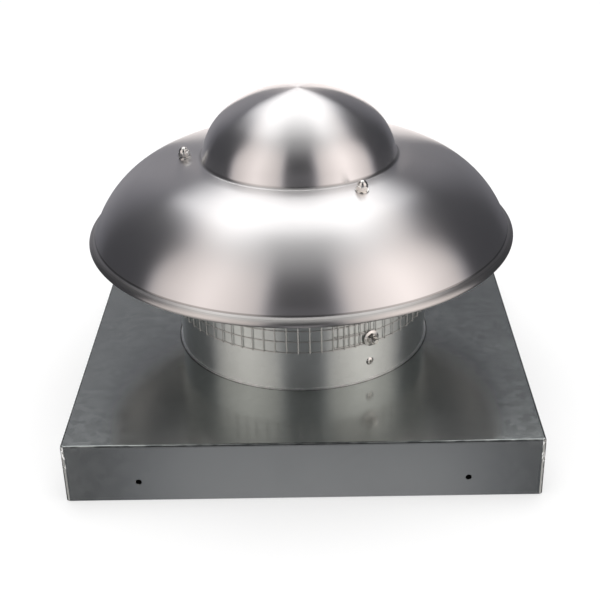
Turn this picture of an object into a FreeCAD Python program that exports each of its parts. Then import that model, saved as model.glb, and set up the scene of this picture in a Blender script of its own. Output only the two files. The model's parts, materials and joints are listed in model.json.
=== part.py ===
import FreeCAD
import Part
import math
import os
import Sketcher
from FreeCAD import Placement, Rotation, Vector

# Axial roof exhaust fan: a square curb cap carries a round neck, a wire bird
# screen and a spun hood on three legs; a motor under the hood turns a
# propeller that runs in the collar of the cap.
# Millimetres, +Z up, origin in the middle of the cap's bottom edge, front at -Y.

os.makedirs("parts", exist_ok=True)
doc = FreeCAD.newDocument("RoofExhaustFan")
sheet = doc.addObject("Spreadsheet::Sheet", "Sizes")

SIZES = [
    ("capSide", 483.0, "side of the square curb cap"),
    ("capHeight", 65.5, "height of the cap, top plate to flange edge"),
    ("capSheet", 1.2, "sheet of the cap"),
    ("capBend", 2.6, "outer radius of the folded top edges"),
    ("capCorner", 4.0, "outer radius of the welded vertical corners"),
    ("curbHoleSpacing", 332.0, "between the two screw holes of a flange"),
    ("curbHoleHeight", 22.0, "curb screw holes above the flange edge"),
    ("curbHoleRadius", 3.25, "curb screw hole"),
    ("tipGap", 4.5, "between the blade tips and the collar"),
    ("collarHeight", 17.0, "collar above the top plate"),
    ("collarBend", 6.0, "radius that turns the plate up into the collar"),
    ("collarSeat", 1.8, "flat plate between the collar's bend and the neck"),
    ("neckSheet", 1.2, "sheet of the neck"),
    ("neckHeight", 100.0, "neck above the top plate"),
    ("neckFoot", 2.0, "width of the neck's turned-out foot"),
    ("seamWidth", 14.0, "lap seam inside the neck"),
    ("screenBottom", 45.0, "lowest wire ring above the top plate"),
    ("screenPitch", 12.7, "height of one cell of the bird screen"),
    ("screenWire", 1.2, "wire of the bird screen"),
    ("screenHeadroom", 0.8, "gap between the screen's wires and the hood"),
    ("legAngle", 31.0, "first leg, degrees from the front towards +X"),
    ("legWidth", 25.0, "width of a leg strip"),
    ("legSheet", 3.0, "thickness of a leg strip"),
    ("legBend", 5.0, "outer bend radius at the top of a leg"),
    ("legFootLength", 26.0, "length of the bent foot under the hood"),
    ("legDrop", 12.0, "leg below the rivet that steadies it"),
    ("legRivetHeight", 22.0, "steadying rivet above the top plate"),
    ("hoodRise", 213.8, "crease of the hood above the top plate"),
    ("hoodSheet", 1.2, "spun sheet of the hood"),
    ("hoodRadius", 234.4, "outside of the hood's rolled edge"),
    ("creaseInset", 21.0, "crease of the hood inside the neck's radius"),
    ("creaseAngle", 5.0, "change of slope at the crease, degrees"),
    ("brimAngle", 9.3, "slope where the brim starts, degrees"),
    ("brimCrownRadius", 285.0, "flat inner curve of the brim"),
    ("brimCrownAngle", 6.6, "turn of the flat inner curve, degrees"),
    ("brimEndAngle", 73.0, "slope where the brim meets its lip, degrees"),
    ("domeCrownAngle", 36.4, "turn of the dome's top curve, degrees"),
    ("domeShoulderRadius", 66.0, "shoulder curve of the dome"),
    ("domeWallAngle", 73.8, "steepest slope of the dome, degrees"),
    ("domeWallRun", 1.0, "straight wall between shoulder and fillet"),
    ("domeFillet", 17.6, "hollow curve between dome and brim"),
    ("lipCove", 2.5, "hollow curve above the lip"),
    ("lipAngle", 20.0, "slope of the lip, degrees"),
    ("lipRun", 7.0, "straight part of the lip"),
    ("lipRadius", 2.8, "outer radius of the rolled edge"),
    ("lipEndAngle", 255.0, "slope at which the rolled edge stops, degrees"),
    ("studInset", 16.0, "hood studs inside the neck's radius"),
    ("studRadius", 3.15, "hood stud and neck bolt"),
    ("studHole", 3.6, "hole for a stud or neck bolt"),
    ("boltAcross", 11.1, "hexagon of studs, bolts and nuts, across flats"),
    ("boltHead", 4.2, "height of a bolt head"),
    ("nutHeight", 5.6, "height of a plain nut"),
    ("boltStandout", 3.0, "neck bolt beyond its nut"),
    ("hoodWasherRadius", 7.1, "washer under an acorn nut"),
    ("hoodWasher", 1.2, "thickness of that washer"),
    ("sealRadius", 8.0, "rubber washer between leg and hood"),
    ("sealHeight", 1.5, "room for the rubber washer"),
    ("sealSettle", 0.2, "what the hood's curve takes of that room"),
    ("acornHex", 5.4, "hexagon part of an acorn nut, height"),
    ("acornDome", 5.1, "radius of an acorn nut's dome"),
    ("acornWall", 2.0, "acorn nut's wall over the stud's end"),
    ("neckWasherRadius", 9.0, "large washer over the bird screen"),
    ("neckWasher", 1.6, "thickness of the large washer"),
    ("legRivetRadius", 2.1, "steadying blind rivet"),
    ("legRivetHead", 4.1, "radius of its head"),
    ("legRivetDome", 1.3, "height of its head"),
    ("legRivetBore", 1.0, "hole left by its pin"),
    ("legRivetBulb", 3.0, "radius of its closed end"),
    ("legRivetTail", 3.0, "length of its closed end"),
    ("mountRise", 70.0, "underside of the motor plate above the top plate"),
    ("mountSheet", 2.5, "sheet of the motor plate"),
    ("mountDisc", 68.0, "radius of the motor plate's middle"),
    ("mountOpening", 26.0, "radius of the opening round the shaft"),
    ("mountTab", 28.0, "bent-down tab at the end of each arm"),
    ("mountBend", 4.0, "outer bend radius of the arms"),
    ("grommetRadius", 7.0, "rubber mount under the motor"),
    ("grommetHeight", 4.0, "height of a rubber mount"),
    ("motorRadius", 62.0, "outside of the motor"),
    ("motorSheet", 1.6, "sheet of shell and end bells"),
    ("bellDepth", 15.0, "depth of an end bell"),
    ("bellBend", 6.0, "outer radius of an end bell's edge"),
    ("shellHeight", 64.0, "straight shell between the bells"),
    ("stackHeight", 36.0, "height of the stator's sheets"),
    ("airGap", 0.4, "gap between rotor and stator"),
    ("rotorRing", 5.0, "height of a rotor end ring"),
    ("slotDepth", 13.0, "depth of a stator slot"),
    ("slotWidth", 8.0, "width of a stator slot"),
    ("slotLip", 2.0, "stator material between slot and air gap"),
    ("slotInsulation", 0.4, "gap between winding and slot"),
    ("slotBack", 6.0, "stator steel between the slots and the through bolts' line"),
    ("endTurn", 7.0, "height of the windings beyond the stack"),
    ("tieRadius", 2.0, "through bolt of the motor"),
    ("tieInset", 7.4, "through bolts from the shell's inner face"),
    ("tieClearance", 0.3, "radial clearance round a through bolt"),
    ("tieAcross", 7.0, "through bolt's head and nut, across flats"),
    ("tieHead", 2.8, "through bolt's head and nut, height"),
    ("tieStandout", 2.0, "through bolt beyond its nut"),
    ("ventPlace", 38.0, "air holes of the bells from the axis"),
    ("ventRadius", 4.5, "air hole of a bell"),
    ("shaftRadius", 4.76, "motor shaft"),
    ("shaftChamfer", 0.8, "chamfer of the shaft's ends"),
    ("bearingGap", 0.04, "running clearance of the shaft"),
    ("bearingWall", 3.2, "wall of a sleeve bearing"),
    ("bearingLength", 16.0, "length of a sleeve bearing"),
    ("bearingFlange", 1.6, "flange of a sleeve bearing"),
    ("bossWall", 2.5, "wall of the bell round its bearing"),
    ("endPlay", 0.25, "play between collars and bearings"),
    ("collarRadius", 8.0, "thrust collar on the shaft"),
    ("propRise", 27.0, "middle of the propeller above the top plate"),
    ("propRadius", 126.5, "propeller, axis to blade tip"),
    ("spiderSheet", 2.0, "sheet of the spider that carries the blades"),
    ("spiderDisc", 27.0, "flat middle of the spider"),
    ("armWidth", 22.0, "arm of the spider"),
    ("armFlat", 3.0, "flat start of an arm beyond the disc"),
    ("armTwistLength", 13.0, "length over which an arm twists"),
    ("armEnd", 63.0, "end of an arm from the axis"),
    ("bladeSheet", 1.5, "sheet of a blade"),
    ("bladeStart", 38.0, "blade's inner edge from the axis"),
    ("bladeStartWidth", 30.0, "blade at its inner edge, seen from above"),
    ("bladeTipWidth", 100.0, "blade at its tip, seen from above"),
    ("bladeMargin", 14.0, "sheet allowed beyond the trimmed outline"),
    ("bladeAngle", 33.0, "blade angle on the arm, degrees"),
    ("bladeTipAngle", 21.0, "blade angle at the tip, degrees"),
    ("bladeCamber", 7.0, "depth of the blade's curve at the tip"),
    ("bladeMiddleCamber", 4.2, "depth of the blade's curve half way out"),
    ("bladeCorner", 24.0, "rounding of the tip corners"),
    ("bladeHeel", 7.0, "rounding of the inner corners"),
    ("bladeRivetNear", 47.5, "inner pair of blade rivets from the axis"),
    ("bladeRivetFar", 57.5, "outer blade rivet from the axis"),
    ("bladeRivetHalf", 5.5, "inner rivets from the arm's middle"),
    ("hubRadius", 11.5, "hub round the shaft"),
    ("hubFlange", 22.0, "radius of the hub flange under the spider"),
    ("hubFlangeHeight", 3.0, "thickness of the hub flange"),
    ("hubLength", 24.0, "length of the hub below its flange face"),
    ("setScrewRadius", 2.5, "set screw of the hub"),
    ("rivetRadius", 2.4, "rivet between propeller and hub"),
    ("rivetHead", 4.2, "radius of a rivet head"),
    ("rivetHeadHeight", 1.6, "height of a rivet head"),
    ("rivetPlace", 17.0, "rivets from the axis"),
    ("boxLength", 44.0, "terminal box along the arm"),
    ("boxWidth", 40.0, "terminal box across the arm"),
    ("boxHeight", 40.0, "terminal box above the arm"),
    ("boxSheet", 1.2, "sheet of the terminal box"),
    ("boxGap", 3.0, "between the terminal box and the bolt head beside it"),
    ("boxPost", 4.0, "radius of the posts that take the lid screws"),
    ("lidScrewRadius", 1.6, "screws of the lid and of the box"),
    ("lidScrewHead", 3.2, "radius of their heads"),
    ("lidScrewHeadHeight", 1.6, "height of their heads"),
    ("lidScrewLength", 12.0, "their length under the head"),
    ("leadRadius", 4.0, "motor lead"),
    ("leadInside", 8.0, "motor lead inside the shell and the box"),
    ("bushingWall", 1.4, "wall of the bushings round the lead and the inlet"),
    ("bushingFlange", 1.6, "flange of a bushing"),
    ("bushingSlack", 0.5, "room between a bushing's flanges and its wall"),
    ("inletRadius", 9.0, "clear radius of the supply inlet in the box"),
]


class Size:
    """A number together with the formula over the sheet that gives it."""

    def __init__(self, value, text):
        self.value = value
        self.text = text

    def __add__(self, other):
        other = asSize(other)
        return Size(self.value + other.value, f"({self.text} + {other.text})")

    def __sub__(self, other):
        other = asSize(other)
        return Size(self.value - other.value, f"({self.text} - {other.text})")

    def __mul__(self, other):
        other = asSize(other)
        return Size(self.value * other.value, f"({self.text} * {other.text})")

    def __truediv__(self, other):
        other = asSize(other)
        return Size(self.value / other.value, f"({self.text} / {other.text})")

    def __neg__(self):
        return Size(-self.value, f"(0 - {self.text})")


def asSize(number):
    return number if isinstance(number, Size) else Size(float(number), f"{number:g}")


def sine(angle):
    return Size(math.sin(math.radians(angle.value)), f"sin({angle.text})")


def cosine(angle):
    return Size(math.cos(math.radians(angle.value)), f"cos({angle.text})")


def root(number):
    return Size(math.sqrt(number.value), f"sqrt({number.text})")


class Sheet:
    """The driving dimensions by name."""


z = Sheet()
for row, (alias, value, note) in enumerate(SIZES, start=1):
    sheet.set(f"A{row}", alias)
    sheet.set(f"B{row}", str(value))
    sheet.set(f"C{row}", note)
    sheet.setAlias(f"B{row}", alias)
    setattr(z, alias, Size(value, f"Sizes.{alias}"))
doc.recompute()

LEGS = 3
TIES = 4
BLADES = 4
HUB_RIVETS = 4
SLOTS = 12
VENTS = 8
SCREEN_SIDES = 36
FULL_TURN = 360.0
QUARTER_TURN = 90.0

subParts = []


def keep(feature, label):
    """Give a finished sub-part its own label and list it for writing."""
    feature.Label = label
    subParts.append(feature)
    return feature


def bind(feature, **formulas):
    """Tie properties of a feature to the sheet."""
    for name, size in formulas.items():
        feature.setExpression(name, asSize(size).text)


def newBody(name):
    return doc.addObject("PartDesign::Body", name)


def sketchOn(body, role, name, offset=None, tilt=None):
    """Sketch on an origin plane, moved out along its normal and tilted about +X."""
    sketch = body.newObject("Sketcher::SketchObject", name)
    plane = next(p for p in body.Origin.OriginFeatures if p.Role == role)
    sketch.AttachmentSupport = [(plane, "")]
    sketch.MapMode = "FlatFace"
    if tilt:
        sketch.AttachmentOffset = Placement(Vector(0, 0, 0), Rotation(Vector(1, 0, 0), tilt.value))
        sketch.setExpression("AttachmentOffset.Rotation.Angle", tilt.text)
    if offset:
        sketch.setExpression("AttachmentOffset.Base.z", offset.text)
    return sketch


def tie(sketch, kind, geometry, vertex, size):
    """Hold one coordinate of a sketch point at a formula."""
    index = sketch.addConstraint(Sketcher.Constraint(kind, -1, 1, geometry, vertex, size.value))
    name = f"k{index}"
    sketch.renameConstraint(index, name)
    sketch.setExpression(f"Constraints.{name}", size.text)


def arcBetween(start, end, radius):
    """Arc from start to end, turning left for a positive radius, right for a negative one."""
    chord = end - start
    half = chord.Length / 2
    rise = math.sqrt(max(radius * radius - half * half, 0.0))
    normal = Vector(-chord.y, chord.x, 0) * (1 / chord.Length)
    centre = (start + end) * 0.5 + normal * math.copysign(rise, radius)
    first, last = (start, end) if radius > 0 else (end, start)
    angles = [math.atan2(p.y - centre.y, p.x - centre.x) for p in (first, last)]
    return Part.ArcOfCircle(Part.Circle(centre, Vector(0, 0, 1), abs(radius)), angles[0], angles[1])


def outline(sketch, corners):
    """Closed outline. A corner is (x, y) after a straight edge, or (x, y, radius) after an arc."""
    first = sketch.GeometryCount
    count = len(corners)
    points = [Vector(asSize(c[0]).value, asSize(c[1]).value, 0) for c in corners]
    ends = []
    for i, corner in enumerate(corners):
        start, end = points[i - 1], points[i]
        if len(corner) == 3:
            sketch.addGeometry(arcBetween(start, end, corner[2].value), False)
            ends.append((1, 2) if corner[2].value > 0 else (2, 1))
        else:
            sketch.addGeometry(Part.LineSegment(start, end), False)
            ends.append((1, 2))
    for i in range(count):
        after = (i + 1) % count
        sketch.addConstraint(
            Sketcher.Constraint("Coincident", first + i, ends[i][1], first + after, ends[after][0]))
    for i, corner in enumerate(corners):
        tie(sketch, "DistanceX", first + i, ends[i][1], asSize(corner[0]))
        tie(sketch, "DistanceY", first + i, ends[i][1], asSize(corner[1]))
        if len(corner) == 3:
            bend = corner[2] if corner[2].value > 0 else -corner[2]
            index = sketch.addConstraint(Sketcher.Constraint("Radius", first + i, bend.value))
            sketch.renameConstraint(index, f"k{index}")
            sketch.setExpression(f"Constraints.k{index}", bend.text)
    return sketch


def circle(sketch, x, y, radius):
    x, y, radius = asSize(x), asSize(y), asSize(radius)
    ring = Part.Circle(Vector(x.value, y.value, 0), Vector(0, 0, 1), radius.value)
    geometry = sketch.addGeometry(ring, False)
    tie(sketch, "DistanceX", geometry, 3, x)
    tie(sketch, "DistanceY", geometry, 3, y)
    index = sketch.addConstraint(Sketcher.Constraint("Radius", geometry, radius.value))
    sketch.renameConstraint(index, f"k{index}")
    sketch.setExpression(f"Constraints.k{index}", radius.text)
    return sketch


def rectangle(sketch, left, low, right, high):
    return outline(sketch, [(left, low), (right, low), (right, high), (left, high)])


def pad(body, sketch, length, middle=False, back=False):
    feature = body.newObject("PartDesign::Pad", f"{sketch.Name}Pad")
    feature.Profile = sketch
    feature.Midplane = middle
    feature.Reversed = back
    bind(feature, Length=length)
    return feature


def revolve(body, sketch, angle=None):
    feature = body.newObject("PartDesign::Revolution", f"{sketch.Name}Turn")
    feature.Profile = sketch
    feature.ReferenceAxis = (sketch, ["V_Axis"])
    feature.Angle = FULL_TURN
    if angle:
        feature.Midplane = True
        bind(feature, Angle=angle)
    return feature


def pocket(body, sketch, length=None, middle=False, along=False):
    """Cut a sketch out of its body; the volume is compared, so a cut that misses stops the build."""
    doc.recompute()
    before = body.Shape.Volume
    feature = body.newObject("PartDesign::Pocket", f"{sketch.Name}Cut")
    feature.Profile = sketch
    feature.Midplane = middle
    feature.Reversed = along
    if length is None:
        feature.Type = "ThroughAll"
    else:
        bind(feature, Length=length)
    doc.recompute()
    if not body.Shape.Volume < before - 1e-3:
        raise RuntimeError(f"{feature.Name} cuts nothing")
    return feature


def polar(body, features, count):
    pattern = body.newObject("PartDesign::PolarPattern", f"{features[0].Name}Round")
    pattern.Originals = features
    axis = next(a for a in body.Origin.OriginFeatures if a.Role == "Z_Axis")
    pattern.Axis = (axis, [""])
    pattern.Angle = FULL_TURN
    pattern.Occurrences = count
    body.Tip = pattern
    doc.recompute()
    return pattern


def edgesWhere(shape, test):
    return [f"Edge{i + 1}" for i, edge in enumerate(shape.Edges) if test(edge)]


def fillet(body, radius, test):
    """Round the edges of the body that pass the test."""
    doc.recompute()
    base = body.Tip
    feature = body.newObject("PartDesign::Fillet", f"{base.Name}Round")
    feature.Base = (base, edgesWhere(base.Shape, test))
    bind(feature, Radius=radius)
    doc.recompute()
    return feature


def upright(edge, tolerance=1e-4):
    ends = [v.Point for v in edge.Vertexes]
    return len(ends) == 2 and math.hypot(ends[0].x - ends[1].x, ends[0].y - ends[1].y) < tolerance


def levelAt(height, tolerance=1e-4):
    return lambda edge: all(abs(v.Point.z - height) < tolerance for v in edge.Vertexes)


def cylinder(name, radius, height, base=0):
    feature = doc.addObject("Part::Cylinder", name)
    bind(feature, Radius=radius, Height=height)
    feature.setExpression("Placement.Base.z", asSize(base).text)
    return feature


def hexagon(name, across, height, base=0):
    feature = doc.addObject("Part::Prism", name)
    feature.Polygon = 6
    bind(feature, Circumradius=across / root(asSize(3)), Height=height)
    feature.setExpression("Placement.Base.z", asSize(base).text)
    return feature


def fuse(name, *features):
    joined = doc.addObject("Part::MultiFuse", name)
    joined.Shapes = list(features)
    return joined


def cut(name, base, tool):
    feature = doc.addObject("Part::Cut", name)
    feature.Base = base
    feature.Tool = tool
    return feature


def copies(label, pattern, places):
    """A group of equal solids, one at each place."""
    doc.recompute()
    group = doc.addObject("Part::Feature", label)
    solids = []
    for place in places:
        solid = pattern.Shape.copy()
        solid.Placement = place.multiply(solid.Placement)
        solids.append(solid)
    group.Shape = Part.makeCompound(solids)
    return keep(group, label)


def legTurn(number):
    """Turn about +Z that takes +X to the side of one leg."""
    return z.legAngle + number * FULL_TURN / LEGS - QUARTER_TURN


def atLeg(number, x, height, tilt=0.0, lean=0.0):
    """Place on the side of a leg: x out from the axis, then leaned about the level tangent."""
    turn = Placement(Vector(0, 0, 0), Rotation(Vector(0, 0, 1), legTurn(number).value))
    spot = Placement(Vector(x, 0, height), Rotation(Vector(0, 1, 0), tilt + lean))
    return turn.multiply(spot)


def turned(body, angle):
    """Turn a whole body about +Z."""
    body.Placement.Rotation = Rotation(Vector(0, 0, 1), angle.value)
    body.setExpression("Placement.Rotation.Angle", angle.text)


# Heights and radii that several pieces share

deck = z.capHeight
throatRadius = z.propRadius + z.tipGap
neckInside = throatRadius + z.collarBend + z.collarSeat
neckRadius = neckInside + z.neckSheet
creaseRadius = neckRadius - z.creaseInset
studPlace = neckRadius - z.studInset
boltHeight = deck + z.screenBottom + z.screenPitch / 2
legRivetAt = deck + z.legRivetHeight
creaseHeight = deck + z.hoodRise
legOutside = root(neckInside * neckInside - z.legWidth * z.legWidth / 4)
legInside = legOutside - z.legSheet
boxPlace = legInside - z.mountSheet - z.boltHead - z.boxGap - z.boxLength / 2
screenOutside = neckRadius + z.screenWire * 2
mountUnder = deck + z.mountRise
mountTop = mountUnder + z.mountSheet
motorBottom = mountTop + z.grommetHeight
motorTop = motorBottom + z.bellDepth * 2 + z.shellHeight
stackBottom = motorBottom + z.bellDepth + (z.shellHeight - z.stackHeight) / 2
statorOutside = z.motorRadius - z.motorSheet
tiePlace = statorOutside - z.tieInset
statorInside = tiePlace - z.slotBack - z.slotDepth - z.slotLip
rotorRadius = statorInside - z.airGap
propHeight = deck + z.propRise
leadHeight = motorBottom + z.bellDepth + (z.shellHeight - z.stackHeight) / 4

# Slope and height of the hood at its studs

studSine = sine(z.brimAngle) + (studPlace - creaseRadius) / z.brimCrownRadius
studCosine = root(asSize(1) - studSine * studSine)
studSkin = creaseHeight + z.brimCrownRadius * (studCosine - cosine(z.brimAngle))
studLean = math.degrees(math.asin(studSine.value))


def makeCurbCap():
    """Folded square cap with welded corners; the plate is drawn up into the propeller's collar."""
    body = newBody("CurbCap")
    half = z.capSide / 2
    square = rectangle(sketchOn(body, "XY_Plane", "CapSquare"), -half, -half, half, half)
    pad(body, square, z.capHeight)
    fillet(body, z.capCorner, upright)
    fillet(body, z.capBend, levelAt(deck.value))
    shell = body.newObject("PartDesign::Thickness", "CapShell")
    base = shell.BaseFeature or body.Tip
    floor = max(range(len(base.Shape.Faces)), key=lambda i: -base.Shape.Faces[i].CenterOfMass.z)
    shell.Base = (base, [f"Face{floor + 1}"])
    shell.Reversed = True
    bind(shell, Value=z.capSheet)
    doc.recompute()

    flat = throatRadius + z.collarBend
    opening = circle(sketchOn(body, "XY_Plane", "CapOpening"), 0, 0, flat)
    pocket(body, opening, z.capHeight, along=True)
    under = deck - z.capSheet
    centre = under + z.collarBend
    outer = throatRadius + z.capSheet
    collar = sketchOn(body, "XZ_Plane", "CapCollar")
    outline(collar, [
        (flat, under),
        (throatRadius, centre, -z.collarBend),
        (throatRadius, deck + z.collarHeight),
        (outer, deck + z.collarHeight),
        (outer, centre),
        (flat, deck, z.collarBend - z.capSheet),
    ])
    revolve(body, collar)

    for role in ("XZ_Plane", "YZ_Plane"):
        holes = sketchOn(body, role, f"CurbHoles{role[:2]}")
        for side in (-1, 1):
            circle(holes, z.curbHoleSpacing / 2 * side, z.curbHoleHeight, z.curbHoleRadius)
        pocket(body, holes, z.capSide * 2, middle=True)
    return keep(body, "curb_cap")


def makeNeck():
    """Rolled neck: turned-out foot, lap seam inside, bolt and rivet holes at the three legs."""
    body = newBody("Neck")
    top = deck + z.neckHeight
    wall = sketchOn(body, "XZ_Plane", "NeckWall")
    outline(wall, [
        (neckInside, deck),
        (neckRadius + z.neckFoot, deck),
        (neckRadius + z.neckFoot, deck + z.neckSheet),
        (neckRadius, deck + z.neckSheet),
        (neckRadius, top),
        (neckInside, top),
    ])
    revolve(body, wall)
    seam = sketchOn(body, "XZ_Plane", "NeckSeam")
    rectangle(seam, -neckInside, deck, -(neckInside - z.neckSheet), top)
    revolve(body, seam, z.seamWidth / neckInside * math.degrees(1))
    holes = sketchOn(body, "YZ_Plane", "NeckHoles")
    circle(holes, 0, boltHeight, z.studHole)
    circle(holes, 0, legRivetAt, z.legRivetRadius)
    holeCut = pocket(body, holes, z.capSide, along=True)
    polar(body, [holeCut], LEGS)
    turned(body, legTurn(0))
    return keep(body, "neck")


def hoodChain():
    """Outer skin of the hood from its top out to the rolled edge.

    Each point is (x, height, slope, bend), where bend is the radius of the
    curve that leads there: positive over a crest, negative through a hollow,
    None for a straight run. The top curve's radius and the brim's long curve
    follow from the crease and from the outside of the hood.
    """
    crown, wall = z.domeCrownAngle, z.domeWallAngle
    start = z.brimAngle - z.creaseAngle
    brimTurn = z.brimAngle + z.brimCrownAngle
    shoulder = z.domeShoulderRadius * (sine(wall) - sine(crown))
    hollow = z.domeFillet * (sine(wall) - sine(start))
    domeRadius = (creaseRadius - shoulder - z.domeWallRun * cosine(wall) - hollow) / sine(crown)
    rise = (domeRadius * (asSize(1) - cosine(crown))
            + z.domeShoulderRadius * (cosine(crown) - cosine(wall))
            + z.domeWallRun * sine(wall)
            + z.domeFillet * (cosine(start) - cosine(wall)))
    coveWidth = z.lipCove * (sine(z.brimEndAngle) - sine(z.lipAngle))
    rollWidth = z.lipRadius * (asSize(1) - sine(z.lipAngle))
    brimEnd = z.hoodRadius - rollWidth - z.lipRun * cosine(z.lipAngle) - coveWidth
    crownWidth = z.brimCrownRadius * (sine(brimTurn) - sine(z.brimAngle))
    brimLeft = brimEnd - creaseRadius - crownWidth
    brimRadius = brimLeft / (sine(z.brimEndAngle) - sine(brimTurn))
    steps = [
        (crown, domeRadius, 1),
        (wall, z.domeShoulderRadius, 1),
        (wall, z.domeWallRun, 0),
        (start, z.domeFillet, -1),
        (z.brimAngle, None, 0),
        (brimTurn, z.brimCrownRadius, 1),
        (z.brimEndAngle, brimRadius, 1),
        (z.lipAngle, z.lipCove, -1),
        (z.lipAngle, z.lipRun, 0),
        (asSize(QUARTER_TURN), z.lipRadius, 1),
        (z.lipEndAngle, z.lipRadius, 1),
    ]
    x, height, slope = asSize(0), creaseHeight + rise, asSize(0)
    chain = [(x, height, slope, None)]
    for after, length, turn in steps:
        if length is None:
            slope = after
            continue
        if turn:
            x = x + length * (sine(after) - sine(slope)) * turn
            height = height - length * (cosine(slope) - cosine(after)) * turn
            chain.append((x, height, after, length * turn))
        else:
            x = x + length * cosine(after)
            height = height - length * sine(after)
            chain.append((x, height, after, None))
        slope = after
    return chain


def makeHood():
    """One spun sheet: dome, crease, brim and rolled lip, with a hole over each leg."""
    chain = hoodChain()
    body = newBody("Hood")
    skin = sketchOn(body, "XZ_Plane", "HoodSkin")
    corners = []
    for x, height, slope, bend in chain:
        corners.append((x, height) if bend is None else (x, height, -bend))
    inner = [(x - z.hoodSheet * sine(slope), height - z.hoodSheet * cosine(slope))
             for x, height, slope, bend in chain]
    corners.append(inner[-1])
    for i in range(len(chain) - 1, 0, -1):
        bend = chain[i][3]
        if bend is None:
            corners.append(inner[i - 1])
        else:
            corners.append((inner[i - 1][0], inner[i - 1][1], bend - z.hoodSheet))
    outline(skin, corners)
    revolve(body, skin)
    hole = circle(sketchOn(body, "XY_Plane", "HoodHole"), studPlace, 0, z.studHole)
    holeCut = pocket(body, hole, z.capSide * 2, along=True)
    polar(body, [holeCut], LEGS)
    turned(body, legTurn(0))
    return keep(body, "hood")


def makeLeg(number, label):
    """Strip leg: upright inside the neck, bent inwards under the hood along the hood's slope."""
    body = newBody(f"Leg{number}")
    drop = z.hoodSheet + z.sealHeight
    seatX = studPlace - drop * studSine
    seat = studSkin - drop * studCosine
    fall = studSine / studCosine
    top = seat - (legOutside - seatX) * fall
    endX = legOutside - z.legFootLength * studCosine
    end = top + z.legFootLength * studSine
    turnInX = z.legSheet * (asSize(1) - studSine) / studCosine
    bottom = legRivetAt - z.legDrop
    side = sketchOn(body, "XZ_Plane", f"Leg{number}Side")
    outline(side, [
        (legInside, bottom),
        (legOutside, bottom),
        (legOutside, top),
        (endX, end),
        (endX - z.legSheet * studSine, end - z.legSheet * studCosine),
        (legInside, top - turnInX),
    ])
    pad(body, side, z.legWidth, middle=True)
    bendOuter = Vector(legOutside.value, 0, top.value)
    bendInner = Vector(legInside.value, 0, (top - turnInX).value)

    def nearTo(point):
        return lambda edge: all(math.hypot(v.Point.x - point.x, v.Point.z - point.z) < 0.01
                                for v in edge.Vertexes)

    fillet(body, z.legBend, nearTo(bendOuter))
    fillet(body, z.legBend - z.legSheet, nearTo(bendInner))
    holes = sketchOn(body, "YZ_Plane", f"Leg{number}Holes")
    circle(holes, 0, boltHeight, z.studHole)
    circle(holes, 0, legRivetAt, z.legRivetRadius)
    pocket(body, holes, z.capSide, along=True)
    foot = circle(sketchOn(body, "XY_Plane", f"Leg{number}Foot"),
                  seatX - z.legSheet / 2 * studSine, 0, z.studHole)
    pocket(body, foot, z.capSide * 2, along=True)
    turned(body, legTurn(number))
    return keep(body, label)


def makeBirdScreen():
    """Welded wire: upright wires over closed rings, flat sided so that they meet face to face."""
    wire = z.screenWire.value
    slant = math.tan(math.pi / SCREEN_SIDES)
    flat = neckRadius.value
    low = (deck + z.screenBottom).value
    start = legTurn(0).value
    ceiling = hoodUnderside(screenOutside.value) - z.screenHeadroom.value
    rings = int((ceiling - low - wire / 2) / z.screenPitch.value) + 1
    side = Part.makePolygon([
        Vector(flat, -flat * slant, low - wire / 2),
        Vector(flat, flat * slant, low - wire / 2),
        Vector(flat + wire, (flat + wire) * slant, low - wire / 2),
        Vector(flat + wire, -(flat + wire) * slant, low - wire / 2),
        Vector(flat, -flat * slant, low - wire / 2),
    ])
    bar = Part.Face(side).extrude(Vector(0, 0, wire))
    pitch = flat * slant
    post = Part.makeBox(wire, wire, ceiling - low + wire / 2,
                        Vector(flat + wire, -wire / 2, low - wire / 2))
    solids = []
    for number in range(SCREEN_SIDES):
        turn = Rotation(Vector(0, 0, 1), start + number * FULL_TURN / SCREEN_SIDES)
        for ring in range(rings):
            piece = bar.copy()
            lift = Placement(Vector(0, 0, ring * z.screenPitch.value), Rotation())
            piece.Placement = Placement(Vector(0, 0, 0), turn).multiply(lift)
            solids.append(piece)
        for offset in (-pitch / 2, pitch / 2):
            piece = post.copy()
            shift = Placement(Vector(0, offset, 0), Rotation())
            piece.Placement = Placement(Vector(0, 0, 0), turn).multiply(shift).multiply(post.Placement)
            solids.append(piece)
    screen = doc.addObject("Part::Feature", "BirdScreen")
    screen.Shape = Part.makeCompound(solids)
    return keep(screen, "bird_screen")


def hoodUnderside(x):
    """Height of the hood's inner skin at a radius on the brim's inner, flat curve or its long curve."""
    chain = hoodChain()
    sheetInside = z.hoodSheet.value
    for before, after in zip(chain[4:6], chain[5:7]):
        radius = after[3].value - sheetInside
        sineStart = math.sin(math.radians(before[2].value if before is not chain[4] else z.brimAngle.value))
        startX = before[0].value - sheetInside * sineStart
        startZ = before[1].value - sheetInside * math.sqrt(1 - sineStart ** 2)
        slopeSine = sineStart + (x - startX) / radius
        if slopeSine <= math.sin(math.radians(after[2].value)):
            return startZ - radius * (math.sqrt(1 - sineStart ** 2) - math.sqrt(1 - slopeSine ** 2))
    raise ValueError("the screen stands outside the brim")


def rivetDome(reach, rise):
    """Radius of the curve over the head of a rivet."""
    return (reach * reach + rise * rise) / (rise * 2)


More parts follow.
